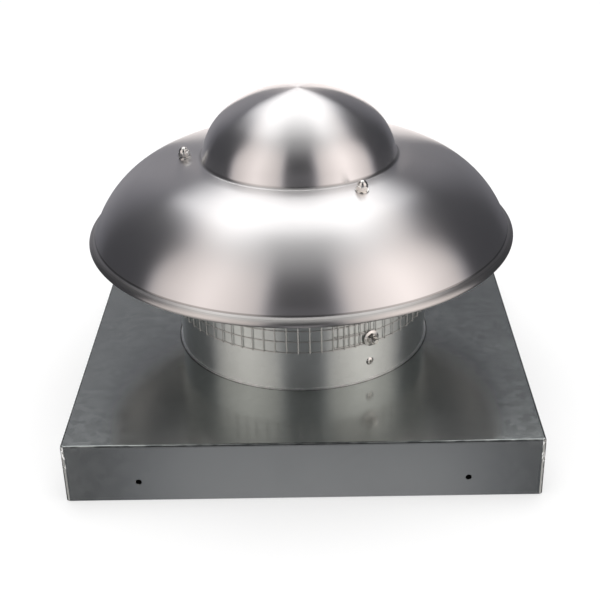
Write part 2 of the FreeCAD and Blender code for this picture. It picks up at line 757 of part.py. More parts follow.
def makeNeckFasteners():
    """Bolts through plate tab, leg, neck and screen, with large washers; blind rivets below them."""
    headFace = legInside - z.mountSheet
    grip = screenOutside + z.neckWasher - headFace
    bolt = fuse("NeckBolt",
                hexagon("NeckBoltHead", z.boltAcross, z.boltHead, -z.boltHead),
                cylinder("NeckBoltShank", z.studRadius, grip + z.nutHeight + z.boltStandout))
    washer = cut("NeckWasherRing",
                 cylinder("NeckWasherDisc", z.neckWasherRadius, z.neckWasher),
                 cylinder("NeckWasherHole", z.studHole, z.neckWasher))
    nut = cut("NeckNutBody",
              hexagon("NeckNutHex", z.boltAcross, z.nutHeight),
              cylinder("NeckNutHole", z.studRadius, z.nutHeight))
    wall = neckRadius - legInside
    rivetProfile = newBody("LegRivet")
    outline(sketchOn(rivetProfile, "XZ_Plane", "LegRivetOutline"), [
        (z.legRivetBore, -z.legRivetDome),
        (z.legRivetHead, 0, rivetDome(z.legRivetHead - z.legRivetBore, z.legRivetDome)),
        (z.legRivetRadius, 0),
        (z.legRivetRadius, wall),
        (z.legRivetBulb, wall),
        (z.legRivetBulb, wall + z.legRivetTail),
        (0, wall + z.legRivetTail),
        (0, wall),
        (z.legRivetBore, wall),
    ])
    revolve(rivetProfile, rivetProfile.Group[0])
    out, inwards = QUARTER_TURN, -QUARTER_TURN
    legs = range(LEGS)
    bolts = [atLeg(n, headFace.value, boltHeight.value, out) for n in legs]
    washers = [atLeg(n, screenOutside.value, boltHeight.value, out) for n in legs]
    nuts = [atLeg(n, (screenOutside + z.neckWasher).value, boltHeight.value, out) for n in legs]
    rivets = [atLeg(n, neckRadius.value, legRivetAt.value, inwards) for n in legs]
    copies("neck_bolts", bolt, bolts)
    copies("neck_washers", washer, washers)
    copies("neck_nuts", nut, nuts)
    copies("leg_rivets", rivetProfile, rivets)


def makeHoodFasteners():
    """Studs from under each leg's foot, rubber seals, washers and acorn nuts on the hood."""
    footUnder = z.hoodSheet + z.sealHeight + z.legSheet
    stack = footUnder + z.hoodWasher
    acornHeight = z.acornHex + z.acornDome
    studEnd = stack + acornHeight - z.acornWall
    stud = fuse("HoodStud",
                hexagon("HoodStudHead", z.boltAcross, z.boltHead, -z.boltHead),
                cylinder("HoodStudShank", z.studRadius, studEnd))
    washer = cut("HoodWasherRing",
                 cylinder("HoodWasherDisc", z.hoodWasherRadius, z.hoodWasher),
                 cylinder("HoodWasherHole", z.studRadius, z.hoodWasher))
    dome = doc.addObject("Part::Sphere", "AcornDome")
    bind(dome, Radius=z.acornDome)
    dome.Angle1 = 0
    dome.setExpression("Placement.Base.z", z.acornHex.text)
    acorn = cut("AcornNut",
                fuse("AcornBody", hexagon("AcornHexagon", z.boltAcross, z.acornHex), dome),
                cylinder("AcornBore", z.studRadius, acornHeight - z.acornWall))
    legs = range(LEGS)

    def onStud(along):
        """Places on the stud lines, measured outwards from the hood's outer skin."""
        x = studPlace.value + along * studSine.value
        height = studSkin.value + along * studCosine.value
        return [atLeg(n, x, height, lean=studLean) for n in legs]

    copies("hood_studs", stud, onStud(-footUnder.value))
    copies("hood_washers", washer, onStud(0.0))
    copies("acorn_nuts", acorn, onStud(z.hoodWasher.value))
    seal = cut("HoodSeal",
               cylinder("HoodSealDisc", z.sealRadius, z.sealHeight - z.sealSettle),
               cylinder("HoodSealHole", z.studRadius, z.sealHeight - z.sealSettle))
    copies("hood_seals", seal, onStud(-(z.sealHeight + z.hoodSheet).value))


def makeMotorMount():
    """Three-armed plate: round middle with the motor's holes, arms bent down onto the legs."""
    body = newBody("MotorMount")
    middle = sketchOn(body, "XZ_Plane", "MountMiddle")
    rectangle(middle, z.mountOpening, mountUnder, z.mountDisc, mountTop)
    revolve(body, middle)
    tabInside = legInside - z.mountSheet
    arm = sketchOn(body, "XZ_Plane", "MountArm")
    outline(arm, [
        (z.mountDisc - z.legWidth, mountUnder),
        (tabInside, mountUnder),
        (tabInside, mountTop - z.mountTab),
        (legInside, mountTop - z.mountTab),
        (legInside, mountTop - z.mountBend),
        (legInside - z.mountBend, mountTop, z.mountBend),
        (z.mountDisc - z.legWidth, mountTop),
    ])
    armPad = pad(body, arm, z.legWidth, middle=True)
    hole = circle(sketchOn(body, "YZ_Plane", "MountTabHole"), 0, boltHeight, z.studHole)
    holeCut = pocket(body, hole, z.capSide, along=True)
    boxHole = circle(sketchOn(body, "XY_Plane", "MountBoxHole"), boxPlace, 0, z.lidScrewRadius)
    boxCut = pocket(body, boxHole, z.capSide, along=True)
    polar(body, [armPad, holeCut, boxCut], LEGS)
    ties = circle(sketchOn(body, "XY_Plane", "MountTieHole"), tiePlace, 0, z.tieRadius + z.tieClearance)
    tieCut = pocket(body, ties, z.capSide, along=True)
    polar(body, [tieCut], TIES)
    turned(body, legTurn(0))
    return keep(body, "motor_mount")


def makeBell(name, label, top):
    """Drawn end bell: rounded cup with a bearing boss, air holes and through-bolt holes."""
    body = newBody(name)
    sign = -1 if top else 1
    face = motorTop if top else motorBottom
    seat = z.shaftRadius + z.bearingGap + z.bearingWall
    boss = seat + z.bossWall
    sheetBend = z.bellBend - z.motorSheet

    def level(depth):
        return face + depth * sign

    bossEnd = level(z.bearingLength - z.bearingFlange)
    cup = sketchOn(body, "XZ_Plane", f"{name}Cup")
    outline(cup, [
        (seat, level(asSize(0))),
        (z.motorRadius - z.bellBend, level(asSize(0))),
        (z.motorRadius, level(z.bellBend), z.bellBend * sign),
        (z.motorRadius, level(z.bellDepth)),
        (z.motorRadius - z.motorSheet, level(z.bellDepth)),
        (z.motorRadius - z.motorSheet, level(z.bellBend)),
        (z.motorRadius - z.bellBend, level(z.motorSheet), sheetBend * -sign),
        (boss, level(z.motorSheet)),
        (boss, bossEnd),
        (seat, bossEnd),
    ])
    revolve(body, cup)
    ties = circle(sketchOn(body, "XY_Plane", f"{name}Tie"), tiePlace, 0, z.tieRadius + z.tieClearance)
    tieCut = pocket(body, ties, z.capSide * 2, along=True)
    polar(body, [tieCut], TIES)
    vents = circle(sketchOn(body, "XY_Plane", f"{name}Vent"), z.ventPlace, 0, z.ventRadius)
    ventCut = pocket(body, vents, z.capSide * 2, along=True)
    polar(body, [ventCut], VENTS)
    turned(body, legTurn(0))
    return keep(body, label)


def makeShell():
    """Rolled shell of the motor, with the hole for its lead."""
    body = newBody("MotorShell")
    wall = sketchOn(body, "XZ_Plane", "ShellWall")
    low = motorBottom + z.bellDepth
    rectangle(wall, statorOutside, low, z.motorRadius, low + z.shellHeight)
    revolve(body, wall)
    leadHole = sketchOn(body, "YZ_Plane", "ShellLeadHole")
    circle(leadHole, 0, leadHeight, z.leadRadius + z.bushingWall)
    pocket(body, leadHole, z.capSide, along=True)
    turned(body, legTurn(2))
    return keep(body, "motor_shell")


def makeStator():
    """Stack of stator sheets with open slots round the bore and holes for the through bolts."""
    body = newBody("StatorCore")
    stack = sketchOn(body, "XZ_Plane", "StackRing")
    rectangle(stack, statorInside, stackBottom, statorOutside, stackBottom + z.stackHeight)
    revolve(body, stack)
    slotStart = statorInside + z.slotLip
    slot = sketchOn(body, "XY_Plane", "StackSlot")
    rectangle(slot, slotStart, -z.slotWidth / 2, slotStart + z.slotDepth, z.slotWidth / 2)
    slotCut = pocket(body, slot, z.capSide, along=True)
    polar(body, [slotCut], SLOTS)
    ties = circle(sketchOn(body, "XY_Plane", "StackTie"), tiePlace, 0, z.tieRadius + z.tieClearance)
    tieCut = pocket(body, ties, z.capSide, along=True)
    polar(body, [tieCut], TIES)
    turned(body, legTurn(0))
    return keep(body, "stator_core")


def makeWindings():
    """Copper in the slots, joined above and below by the end turns."""
    body = newBody("StatorWindings")
    slotStart = statorInside + z.slotLip + z.slotInsulation
    slotEnd = statorInside + z.slotLip + z.slotDepth - z.slotInsulation
    over = stackBottom + z.stackHeight + z.slotInsulation
    under = stackBottom - z.slotInsulation
    lower = rectangle(sketchOn(body, "XZ_Plane", "LowerTurns"), slotStart, under - z.endTurn, slotEnd, under)
    revolve(body, lower)
    bar = sketchOn(body, "XZ_Plane", "SlotBar")
    rectangle(bar, slotStart, under, slotEnd, over)
    barPad = pad(body, bar, z.slotWidth - z.slotInsulation * 2, middle=True)
    polar(body, [barPad], SLOTS)
    upper = rectangle(sketchOn(body, "XZ_Plane", "UpperTurns"), slotStart, over, slotEnd, over + z.endTurn)
    revolve(body, upper)
    turned(body, legTurn(0))
    return keep(body, "stator_windings")


def makeRotorCore():
    """Rotor sheets with cast end rings, pressed on the shaft."""
    body = newBody("RotorCore")
    top = stackBottom + z.stackHeight
    ringOuter = rotorRadius - z.slotLip
    ringInner = rotorRadius - z.slotDepth
    core = sketchOn(body, "XZ_Plane", "RotorOutline")
    outline(core, [
        (z.shaftRadius, stackBottom),
        (ringInner, stackBottom),
        (ringInner, stackBottom - z.rotorRing),
        (ringOuter, stackBottom - z.rotorRing),
        (ringOuter, stackBottom),
        (rotorRadius, stackBottom),
        (rotorRadius, top),
        (ringOuter, top),
        (ringOuter, top + z.rotorRing),
        (ringInner, top + z.rotorRing),
        (ringInner, top),
        (z.shaftRadius, top),
    ])
    revolve(body, core)
    return keep(body, "rotor_core")


def makeShaft():
    """Shaft from inside the upper bearing down through the propeller's hub."""
    body = newBody("MotorShaft")
    low = propHeight - z.spiderSheet / 2 - z.hubLength - z.shaftChamfer * 2
    high = motorTop - z.endPlay
    bar = sketchOn(body, "XZ_Plane", "ShaftOutline")
    outline(bar, [
        (0, low),
        (z.shaftRadius - z.shaftChamfer, low),
        (z.shaftRadius, low + z.shaftChamfer),
        (z.shaftRadius, high - z.shaftChamfer),
        (z.shaftRadius - z.shaftChamfer, high),
        (0, high),
    ])
    revolve(body, bar)
    return keep(body, "motor_shaft")


def makeBearing(name, label, top):
    """Flanged sleeve bearing, pressed into its bell from inside the motor."""
    body = newBody(name)
    sign = -1 if top else 1
    face = motorTop if top else motorBottom
    bore = z.shaftRadius + z.bearingGap
    outer = bore + z.bearingWall
    flange = outer + z.bossWall
    inner = face + z.bearingLength * sign
    shoulder = face + (z.bearingLength - z.bearingFlange) * sign
    sleeve = sketchOn(body, "XZ_Plane", f"{name}Sleeve")
    outline(sleeve, [
        (bore, face),
        (outer, face),
        (outer, shoulder),
        (flange, shoulder),
        (flange, inner),
        (bore, inner),
    ])
    revolve(body, sleeve)
    return keep(body, label)


def makeThrustCollars():
    """Collars on the shaft that keep the rotor between its bearings."""
    lower = cut("LowerCollar",
                cylinder("LowerCollarDisc", z.collarRadius, lowerCollarHeight(), lowerCollarBase()),
                cylinder("LowerCollarBore", z.shaftRadius, lowerCollarHeight(), lowerCollarBase()))
    upperBase = stackBottom + z.stackHeight
    upperHeight = motorTop - z.bearingLength - z.endPlay - upperBase
    upper = cut("UpperCollar",
                cylinder("UpperCollarDisc", z.collarRadius, upperHeight, upperBase),
                cylinder("UpperCollarBore", z.shaftRadius, upperHeight, upperBase))
    pair = doc.addObject("Part::Compound", "ThrustCollars")
    pair.Links = [lower, upper]
    return keep(pair, "thrust_collars")


def lowerCollarBase():
    return motorBottom + z.bearingLength + z.endPlay


def lowerCollarHeight():
    return stackBottom - lowerCollarBase()


def makeMotorTies():
    """Through bolts from below the plate, rubber mounts round them, nuts on the upper bell."""
    length = motorTop + z.tieHead + z.tieStandout - mountUnder
    bolt = fuse("TieBolt",
                hexagon("TieBoltHead", z.tieAcross, z.tieHead, -z.tieHead),
                cylinder("TieBoltShank", z.tieRadius, length))
    nut = cut("TieNut",
              hexagon("TieNutHex", z.tieAcross, z.tieHead),
              cylinder("TieNutHole", z.tieRadius, z.tieHead))
    grommet = cut("Grommet",
                  cylinder("GrommetBody", z.grommetRadius, z.grommetHeight),
                  cylinder("GrommetHole", z.tieRadius + z.tieClearance, z.grommetHeight))

    def onTies(height):
        places = []
        for number in range(TIES):
            angle = legTurn(0).value + number * FULL_TURN / TIES
            turn = Placement(Vector(0, 0, 0), Rotation(Vector(0, 0, 1), angle))
            places.append(turn.multiply(Placement(Vector(tiePlace.value, 0, height), Rotation())))
        return places

    copies("motor_through_bolts", bolt, onTies(mountUnder.value))
    copies("motor_nuts", nut, onTies(motorTop.value))
    copies("motor_grommets", grommet, onTies(mountTop.value))


def bladeSpot(u, v, pitch):
    """Point of a cross section at a blade's angle; u runs to the leading, lower edge."""
    across, along = cosine(pitch), sine(pitch)
    return (u * across + v * along, propHeight - u * along + v * across)


def strip(sketch, width, low, high, pitch, camber=None):
    """Cross section of a sheet between two levels, hollow side up where it is cambered."""
    half = width / 2
    corners = [bladeSpot(-half, low, pitch), bladeSpot(half, low, pitch),
               bladeSpot(half, high, pitch), bladeSpot(-half, high, pitch)]
    if camber:
        sweep = (half * half + camber * camber) / (camber * 2)
        corners[1] += (sweep,)
        corners[3] += (-sweep,)
    return outline(sketch, corners)


def bladeRivetHoles(body, name):
    """Three holes square to the arm."""
    holes = sketchOn(body, "XY_Plane", name, propHeight, -z.bladeAngle)
    circle(holes, z.bladeRivetNear, z.bladeRivetHalf, z.rivetRadius)
    circle(holes, z.bladeRivetNear, -z.bladeRivetHalf, z.rivetRadius)
    circle(holes, z.bladeRivetFar, 0, z.rivetRadius)
    return pocket(body, holes, z.armWidth / 2, middle=True)


def makeSpider():
    """Disc on the hub with arms that twist up to the blades' angle."""
    body = newBody("Spider")
    half = z.spiderSheet / 2
    disc = sketchOn(body, "XY_Plane", "SpiderDisc", propHeight - half)
    circle(disc, 0, 0, z.spiderDisc)
    circle(disc, 0, 0, z.hubRadius)
    pad(body, disc, z.spiderSheet)
    flatEnd = z.spiderDisc + z.armFlat
    level = asSize(0)
    stations = [
        (z.rivetPlace, level),
        (flatEnd, level),
        (flatEnd + z.armTwistLength, z.bladeAngle),
        (z.armEnd, z.bladeAngle),
    ]
    sections = []
    for number, (place, pitch) in enumerate(stations):
        section = sketchOn(body, "YZ_Plane", f"ArmSection{number}", place)
        sections.append(strip(section, z.armWidth, -half, half, pitch))
    arm = body.newObject("PartDesign::AdditiveLoft", "SpiderArm")
    arm.Profile = sections[0]
    arm.Sections = sections[1:]
    arm.Ruled = True
    doc.recompute()
    holeCut = bladeRivetHoles(body, "SpiderBladeRivets")
    polar(body, [arm, holeCut], BLADES)
    rivets = sketchOn(body, "XY_Plane", "SpiderHubRivets")
    diagonal = z.rivetPlace * math.sqrt(0.5)
    circle(rivets, diagonal, diagonal, z.rivetRadius)
    rivetCut = pocket(body, rivets, z.capSide, along=True)
    polar(body, [rivetCut], HUB_RIVETS)
    return keep(body, "propeller_spider")


def makeBlades():
    """Four equal blades of twisted, hollowed sheet, trimmed to a rounded outline from above."""
    body = newBody("BladeSheet")
    low, high = z.spiderSheet / 2, z.spiderSheet / 2 + z.bladeSheet
    reach = z.propRadius - z.armEnd
    grow = (z.bladeTipWidth - z.bladeStartWidth) / (z.propRadius - z.bladeStart)

    def wide(place, pitch):
        return (z.bladeStartWidth + (place - z.bladeStart) * grow + z.bladeMargin) / cosine(pitch)

    rootWidth = wide(z.armEnd, z.bladeAngle)
    start = sketchOn(body, "YZ_Plane", "BladeRoot", z.bladeStart - z.bladeHeel)
    strip(start, rootWidth, low, high, z.bladeAngle)
    pad(body, start, z.armEnd - z.bladeStart + z.bladeHeel)
    middle = z.armEnd + reach / 2
    middlePitch = (z.bladeAngle + z.bladeTipAngle) / 2
    tip = z.propRadius + z.bladeHeel
    stations = [
        (z.armEnd, rootWidth, z.bladeAngle, None),
        (middle, wide(middle, middlePitch), middlePitch, z.bladeMiddleCamber),
        (tip, wide(tip, z.bladeTipAngle), z.bladeTipAngle, z.bladeCamber),
    ]
    sections = []
    for number, (place, width, pitch, camber) in enumerate(stations):
        section = sketchOn(body, "YZ_Plane", f"BladeSection{number}", place)
        sections.append(strip(section, width, low, high, pitch, camber))
    loft = body.newObject("PartDesign::AdditiveLoft", "BladeLoft")
    loft.Profile = sections[0]
    loft.Sections = sections[1:]
    doc.recompute()
    bladeRivetHoles(body, "BladeRivetHoles")

    trim = newBody("BladeTrim")
    inner, outer = z.bladeStartWidth / 2, z.bladeTipWidth / 2
    edge = root(z.propRadius * z.propRadius - outer * outer)
    plan = outline(sketchOn(trim, "XY_Plane", "BladePlan"), [
        (z.bladeStart, -inner),
        (edge, -outer),
        (edge, outer, z.propRadius),
        (z.bladeStart, inner),
    ])
    pad(trim, plan, propHeight * 2)
    fillet(trim, z.bladeCorner, lambda edge: upright(edge) and edge.Vertexes[0].Point.x > z.armEnd.value)
    fillet(trim, z.bladeHeel, lambda edge: upright(edge) and edge.Vertexes[0].Point.x < z.armEnd.value)
    blade = doc.addObject("Part::Common", "Blade")
    blade.Base = body
    blade.Tool = trim
    for number in range(BLADES):
        turnedBlade = doc.addObject("Part::Compound", f"Blade{number + 1}")
        turnedBlade.Links = [blade]
        turnedBlade.Placement.Rotation = Rotation(Vector(0, 0, 1), number * FULL_TURN / BLADES)
        keep(turnedBlade, f"propeller_blade_{number + 1}")

    shank = z.spiderSheet + z.bladeSheet
    rivet = makeRivet("BladeRivet", shank)
    places = []
    spots = [(z.bladeRivetNear, z.bladeRivetHalf), (z.bladeRivetNear, -z.bladeRivetHalf),
             (z.bladeRivetFar, asSize(0))]
    lean = Placement(Vector(0, 0, propHeight.value), Rotation(Vector(1, 0, 0), -z.bladeAngle.value))
    for number in range(BLADES):
        turn = Placement(Vector(0, 0, 0), Rotation(Vector(0, 0, 1), number * FULL_TURN / BLADES))
        for x, y in spots:
            spot = Placement(Vector(x.value, y.value, -z.spiderSheet.value / 2), Rotation())
            places.append(turn.multiply(lean).multiply(spot))
    copies("blade_rivets", rivet, places)


def makeRivet(name, grip):
    """Rivet with a head on both sides of its grip."""
    return fuse(name,
                cylinder(f"{name}Shank", z.rivetRadius, grip),
                cylinder(f"{name}Lower", z.rivetHead, z.rivetHeadHeight, -z.rivetHeadHeight),
                cylinder(f"{name}Upper", z.rivetHead, z.rivetHeadHeight, grip))


def makeHub():
    """Turned hub: flange under the spider, riveted to it, with a set screw in its neck."""
    body = newBody("PropellerHub")
    seat = propHeight - z.spiderSheet / 2
    low = seat - z.hubLength
    turning = sketchOn(body, "XZ_Plane", "HubOutline")
    outline(turning, [
        (z.shaftRadius, low),
        (z.hubRadius, low),
        (z.hubRadius, seat - z.hubFlangeHeight),
        (z.hubFlange, seat - z.hubFlangeHeight),
        (z.hubFlange, seat),
        (z.hubRadius, seat),
        (z.hubRadius, seat + z.spiderSheet),
        (z.shaftRadius, seat + z.spiderSheet),
    ])
    revolve(body, turning)
    screwAt = low + (z.hubLength - z.hubFlangeHeight) / 2
    screwHole = circle(sketchOn(body, "YZ_Plane", "SetScrewHole"), 0, screwAt, z.setScrewRadius)
    pocket(body, screwHole, z.hubFlange, along=True)
    rivets = sketchOn(body, "XY_Plane", "HubRivetHole")
    diagonal = z.rivetPlace * math.sqrt(0.5)
    circle(rivets, diagonal, diagonal, z.rivetRadius)
    rivetCut = pocket(body, rivets, z.capSide, along=True)
    polar(body, [rivetCut], HUB_RIVETS)
    keep(body, "propeller_hub")

    screw = cylinder("SetScrew", z.setScrewRadius, z.hubRadius - z.shaftRadius)
    screw.Placement.Rotation = Rotation(Vector(0, 1, 0), QUARTER_TURN)
    screw.setExpression("Placement.Base.x", z.shaftRadius.text)
    screw.setExpression("Placement.Base.z", screwAt.text)
    socket = hexagon("SetScrewSocket", z.setScrewRadius, z.setScrewRadius)
    socket.Placement.Rotation = Rotation(Vector(0, 1, 0), QUARTER_TURN)
    socket.setExpression("Placement.Base.x", (z.hubRadius - z.setScrewRadius).text)
    socket.setExpression("Placement.Base.z", screwAt.text)
    keep(cut("SetScrewBody", screw, socket), "set_screw")

    rivet = makeRivet("HubRivet", z.spiderSheet + z.hubFlangeHeight)
    places = []
    for number in range(HUB_RIVETS):
        angle = FULL_TURN / HUB_RIVETS * (number + 0.5)
        turn = Placement(Vector(0, 0, 0), Rotation(Vector(0, 0, 1), angle))
        spot = Placement(Vector(z.rivetPlace.value, 0, (seat - z.hubFlangeHeight).value), Rotation())
        places.append(turn.multiply(spot))
    copies("hub_rivets", rivet, places)


def bushingOutline(sketch, start, end, clear):
    """Rubber bushing in a wall between start and end, outside to outside of its flanges."""
    barrel = clear + z.bushingWall
    rim = barrel + z.bushingWall
    return outline(sketch, [
        (start, leadHeight + clear),
        (end, leadHeight + clear),
        (end, leadHeight + rim),
        (end - z.bushingFlange, leadHeight + rim),
        (end - z.bushingFlange, leadHeight + barrel),
        (start + z.bushingFlange, leadHeight + barrel),
        (start + z.bushingFlange, leadHeight + rim),
        (start, leadHeight + rim),
    ])


def makeBushing(name, start, end, clear):
    """Ring bushing turned about the lead's line, which runs out along +X."""
    body = newBody(name)
    sketch = sketchOn(body, "XZ_Plane", f"{name}Ring")
    bushingOutline(sketch, start, end, clear)
    line = sketch.addGeometry(Part.LineSegment(Vector(0, leadHeight.value, 0),
                                               Vector(start.value, leadHeight.value, 0)), True)
    tie(sketch, "DistanceX", line, 1, asSize(0))
    tie(sketch, "DistanceY", line, 1, leadHeight)
    tie(sketch, "DistanceX", line, 2, start)
    tie(sketch, "DistanceY", line, 2, leadHeight)
    feature = body.newObject("PartDesign::Revolution", f"{name}Turn")
    feature.Profile = sketch
    feature.ReferenceAxis = (sketch, ["Axis0"])
    feature.Angle = FULL_TURN
    return body


def makeTerminalBox():
    """Box on the third arm with its lid and screws, the motor's lead and the bushings."""
    turn = legTurn(2)
    body = newBody("TerminalBox")
    left, right = boxPlace - z.boxLength / 2, boxPlace + z.boxLength / 2
    top = mountTop + z.boxHeight
    side = rectangle(sketchOn(body, "XZ_Plane", "BoxSide"), left, mountTop, right, top)
    pad(body, side, z.boxWidth, middle=True)
    hollow = sketchOn(body, "XZ_Plane", "BoxHollow")
    rectangle(hollow, left + z.boxSheet, mountTop + z.boxSheet, right - z.boxSheet, top)
    pocket(body, hollow, z.boxWidth - z.boxSheet * 2, middle=True)
    postX = z.boxLength / 2 - z.boxPost
    postY = z.boxWidth / 2 - z.boxPost
    posts = sketchOn(body, "XY_Plane", "BoxPosts", mountTop)
    circle(posts, boxPlace - postX, postY, z.boxPost)
    circle(posts, boxPlace + postX, -postY, z.boxPost)
    pad(body, posts, z.boxHeight)
    bores = sketchOn(body, "XY_Plane", "BoxPostBores", top)
    circle(bores, boxPlace - postX, postY, z.lidScrewRadius)
    circle(bores, boxPlace + postX, -postY, z.lidScrewRadius)
    pocket(body, bores, z.lidScrewLength)
    floorHole = circle(sketchOn(body, "XY_Plane", "BoxFloorHole"), boxPlace, 0, z.lidScrewRadius)
    pocket(body, floorHole, mountTop + z.boxSheet, along=True)
    leadHole = sketchOn(body, "YZ_Plane", "BoxLeadHole")
    circle(leadHole, 0, leadHeight, z.leadRadius + z.bushingWall)
    pocket(body, leadHole, boxPlace, along=True)
    inlet = circle(sketchOn(body, "XZ_Plane", "BoxInlet"), boxPlace, leadHeight,
                   z.inletRadius + z.bushingWall)
    pocket(body, inlet, z.boxWidth)
    turned(body, turn)
    keep(body, "terminal_box")

    lid = newBody("TerminalLid")
    plate = sketchOn(lid, "XY_Plane", "LidPlate", top)
    rectangle(plate, left, -z.boxWidth / 2, right, z.boxWidth / 2)
    circle(plate, boxPlace - postX, postY, z.lidScrewRadius)
    circle(plate, boxPlace + postX, -postY, z.lidScrewRadius)
    pad(lid, plate, z.boxSheet)
    turned(lid, turn)
    keep(lid, "terminal_box_lid")

    screw = fuse("LidScrew",
                 cylinder("LidScrewHead", z.lidScrewHead, z.lidScrewHeadHeight),
                 cylinder("LidScrewShank", z.lidScrewRadius, z.lidScrewLength, -z.lidScrewLength))
    spin = Placement(Vector(0, 0, 0), Rotation(Vector(0, 0, 1), turn.value))
    spots = [(boxPlace - postX, postY, top + z.boxSheet),
             (boxPlace + postX, -postY, top + z.boxSheet),
             (boxPlace, asSize(0), mountTop + z.boxSheet)]
    copies("box_screws", screw,
           [spin.multiply(Placement(Vector(x.value, y.value, height.value), Rotation()))
            for x, y, height in spots])

    leadStart = statorOutside - z.leadInside
    leadEnd = left + z.boxSheet + z.leadInside
    lead = newBody("MotorLead")
    wire = sketchOn(lead, "YZ_Plane", "LeadSection", leadStart)
    circle(wire, 0, leadHeight, z.leadRadius)
    pad(lead, wire, leadEnd - leadStart)
    turned(lead, turn)
    keep(lead, "motor_lead")

    shellStart = statorOutside - z.bushingSlack * 2 - z.bushingFlange
    shellBushing = makeBushing("ShellBushing", shellStart,
                               z.motorRadius + z.bushingSlack + z.bushingFlange, z.leadRadius)
    turned(shellBushing, turn)
    keep(shellBushing, "shell_bushing")
    boxBushing = makeBushing("BoxBushing", left - z.bushingFlange,
                             left + z.boxSheet + z.bushingFlange, z.leadRadius)
    turned(boxBushing, turn)
    keep(boxBushing, "box_bushing")
    inletY = z.boxWidth / 2
    ring = newBody("InletBushing")
    section = sketchOn(ring, "XY_Plane", "InletRing", leadHeight)
    barrel = z.inletRadius + z.bushingWall
    rim = barrel + z.bushingWall
    outline(section, [
        (boxPlace + z.inletRadius, inletY + z.bushingFlange),
        (boxPlace + z.inletRadius, inletY - z.boxSheet - z.bushingFlange),
        (boxPlace + rim, inletY - z.boxSheet - z.bushingFlange),
        (boxPlace + rim, inletY - z.boxSheet),
        (boxPlace + barrel, inletY - z.boxSheet),
        (boxPlace + barrel, inletY),
        (boxPlace + rim, inletY),
        (boxPlace + rim, inletY + z.bushingFlange),
    ])
    line = section.addGeometry(Part.LineSegment(Vector(boxPlace.value, 0, 0),
                                                Vector(boxPlace.value, inletY.value, 0)), True)
    tie(section, "DistanceX", line, 1, boxPlace)
    tie(section, "DistanceY", line, 1, asSize(0))
    tie(section, "DistanceX", line, 2, boxPlace)
    tie(section, "DistanceY", line, 2, inletY)
    feature = ring.newObject("PartDesign::Revolution", "InletTurn")
    feature.Profile = section
    feature.ReferenceAxis = (section, ["Axis0"])
    feature.Angle = FULL_TURN
    turned(ring, turn)
    keep(ring, "inlet_bushing")


makeCurbCap()
makeNeck()
makeHood()
for number, label in enumerate(("leg_right", "leg_rear", "leg_left")):
    makeLeg(number, label)
makeBirdScreen()
makeNeckFasteners()
makeHoodFasteners()
makeMotorMount()
makeBell("LowerBell", "motor_lower_bell", top=False)
makeBell("UpperBell", "motor_upper_bell", top=True)
makeShell()
makeStator()
makeWindings()
makeRotorCore()
makeShaft()
makeBearing("LowerBearing", "lower_bearing", top=False)
makeBearing("UpperBearing", "upper_bearing", top=True)
makeThrustCollars()
makeMotorTies()
makeSpider()
makeBlades()
makeHub()
makeTerminalBox()
doc.recompute()

for feature in doc.Objects:
    faults = [state for state in feature.State if state in ("Invalid", "Error")]
    if faults:
        raise RuntimeError(f"{feature.Label} did not compute")
for feature in subParts:
    if feature.Shape.isNull() or not feature.Shape.isValid():
        raise RuntimeError(f"{feature.Label} has no valid shape")
for feature in subParts:
    feature.Shape.exportStep(os.path.join("parts", f"{feature.Label}.step"))
    print(feature.Label, len(feature.Shape.Solids), round(feature.Shape.Volume, 1))
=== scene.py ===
import json
import math

import bmesh
import bpy
from mathutils import Matrix, Vector


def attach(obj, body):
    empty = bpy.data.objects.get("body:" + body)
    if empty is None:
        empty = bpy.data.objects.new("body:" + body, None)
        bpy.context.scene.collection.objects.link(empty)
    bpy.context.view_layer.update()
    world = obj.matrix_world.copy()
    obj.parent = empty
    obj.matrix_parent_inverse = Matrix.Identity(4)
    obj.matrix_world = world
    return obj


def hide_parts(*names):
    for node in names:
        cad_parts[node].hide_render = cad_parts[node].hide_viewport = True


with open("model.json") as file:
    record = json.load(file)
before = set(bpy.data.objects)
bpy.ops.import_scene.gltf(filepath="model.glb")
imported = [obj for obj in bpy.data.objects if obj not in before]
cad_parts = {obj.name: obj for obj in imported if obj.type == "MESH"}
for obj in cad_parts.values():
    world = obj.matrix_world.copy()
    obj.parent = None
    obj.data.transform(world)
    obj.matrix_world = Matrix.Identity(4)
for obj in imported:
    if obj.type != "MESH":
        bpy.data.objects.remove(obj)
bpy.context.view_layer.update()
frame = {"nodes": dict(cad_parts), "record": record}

# axial roof exhaust fan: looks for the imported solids, metres, front at -Y

nodes = frame["nodes"]
record = frame["record"]
bodyOf = {node: body for body, group in record["behaviour"]["bodies"].items() for node in group}
slotOf = {part["node"]: part["material_slot"] for part in record["subparts"]}
scene = bpy.context.scene
mm = 0.001
legCount = 3
legStart = math.radians(31 - 90)  # first leg, counted from +X
print("frame:", len(nodes), "nodes")


# meshes

mergeReach = 0.01 * mm  # corners closer than this are one
sliverReach = 0.002 * mm  # faces thinner than this go
sharpAngle = 30  # degrees between faces past which their edge shows
onAxis = 1e-7  # a profile's radius below this is a pole


def sinOf(degrees):
    return math.sin(math.radians(degrees))


def cosOf(degrees):
    return math.cos(math.radians(degrees))


def linked(name, mesh):
    obj = bpy.data.objects.new(name.replace(" ", "-"), mesh)
    scene.collection.objects.link(obj)
    return obj


def settle(obj, node):  # the calls that every piece needs
    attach(obj, bodyOf[node])
    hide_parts(node)
    return obj


def applied(obj):  # its modifiers' result becomes its mesh
    name = obj.data.name
    mesh = bpy.data.meshes.new_from_object(obj.evaluated_get(bpy.context.evaluated_depsgraph_get()))
    obj.modifiers.clear()
    obj.data = mesh
    mesh.name = name
    return obj


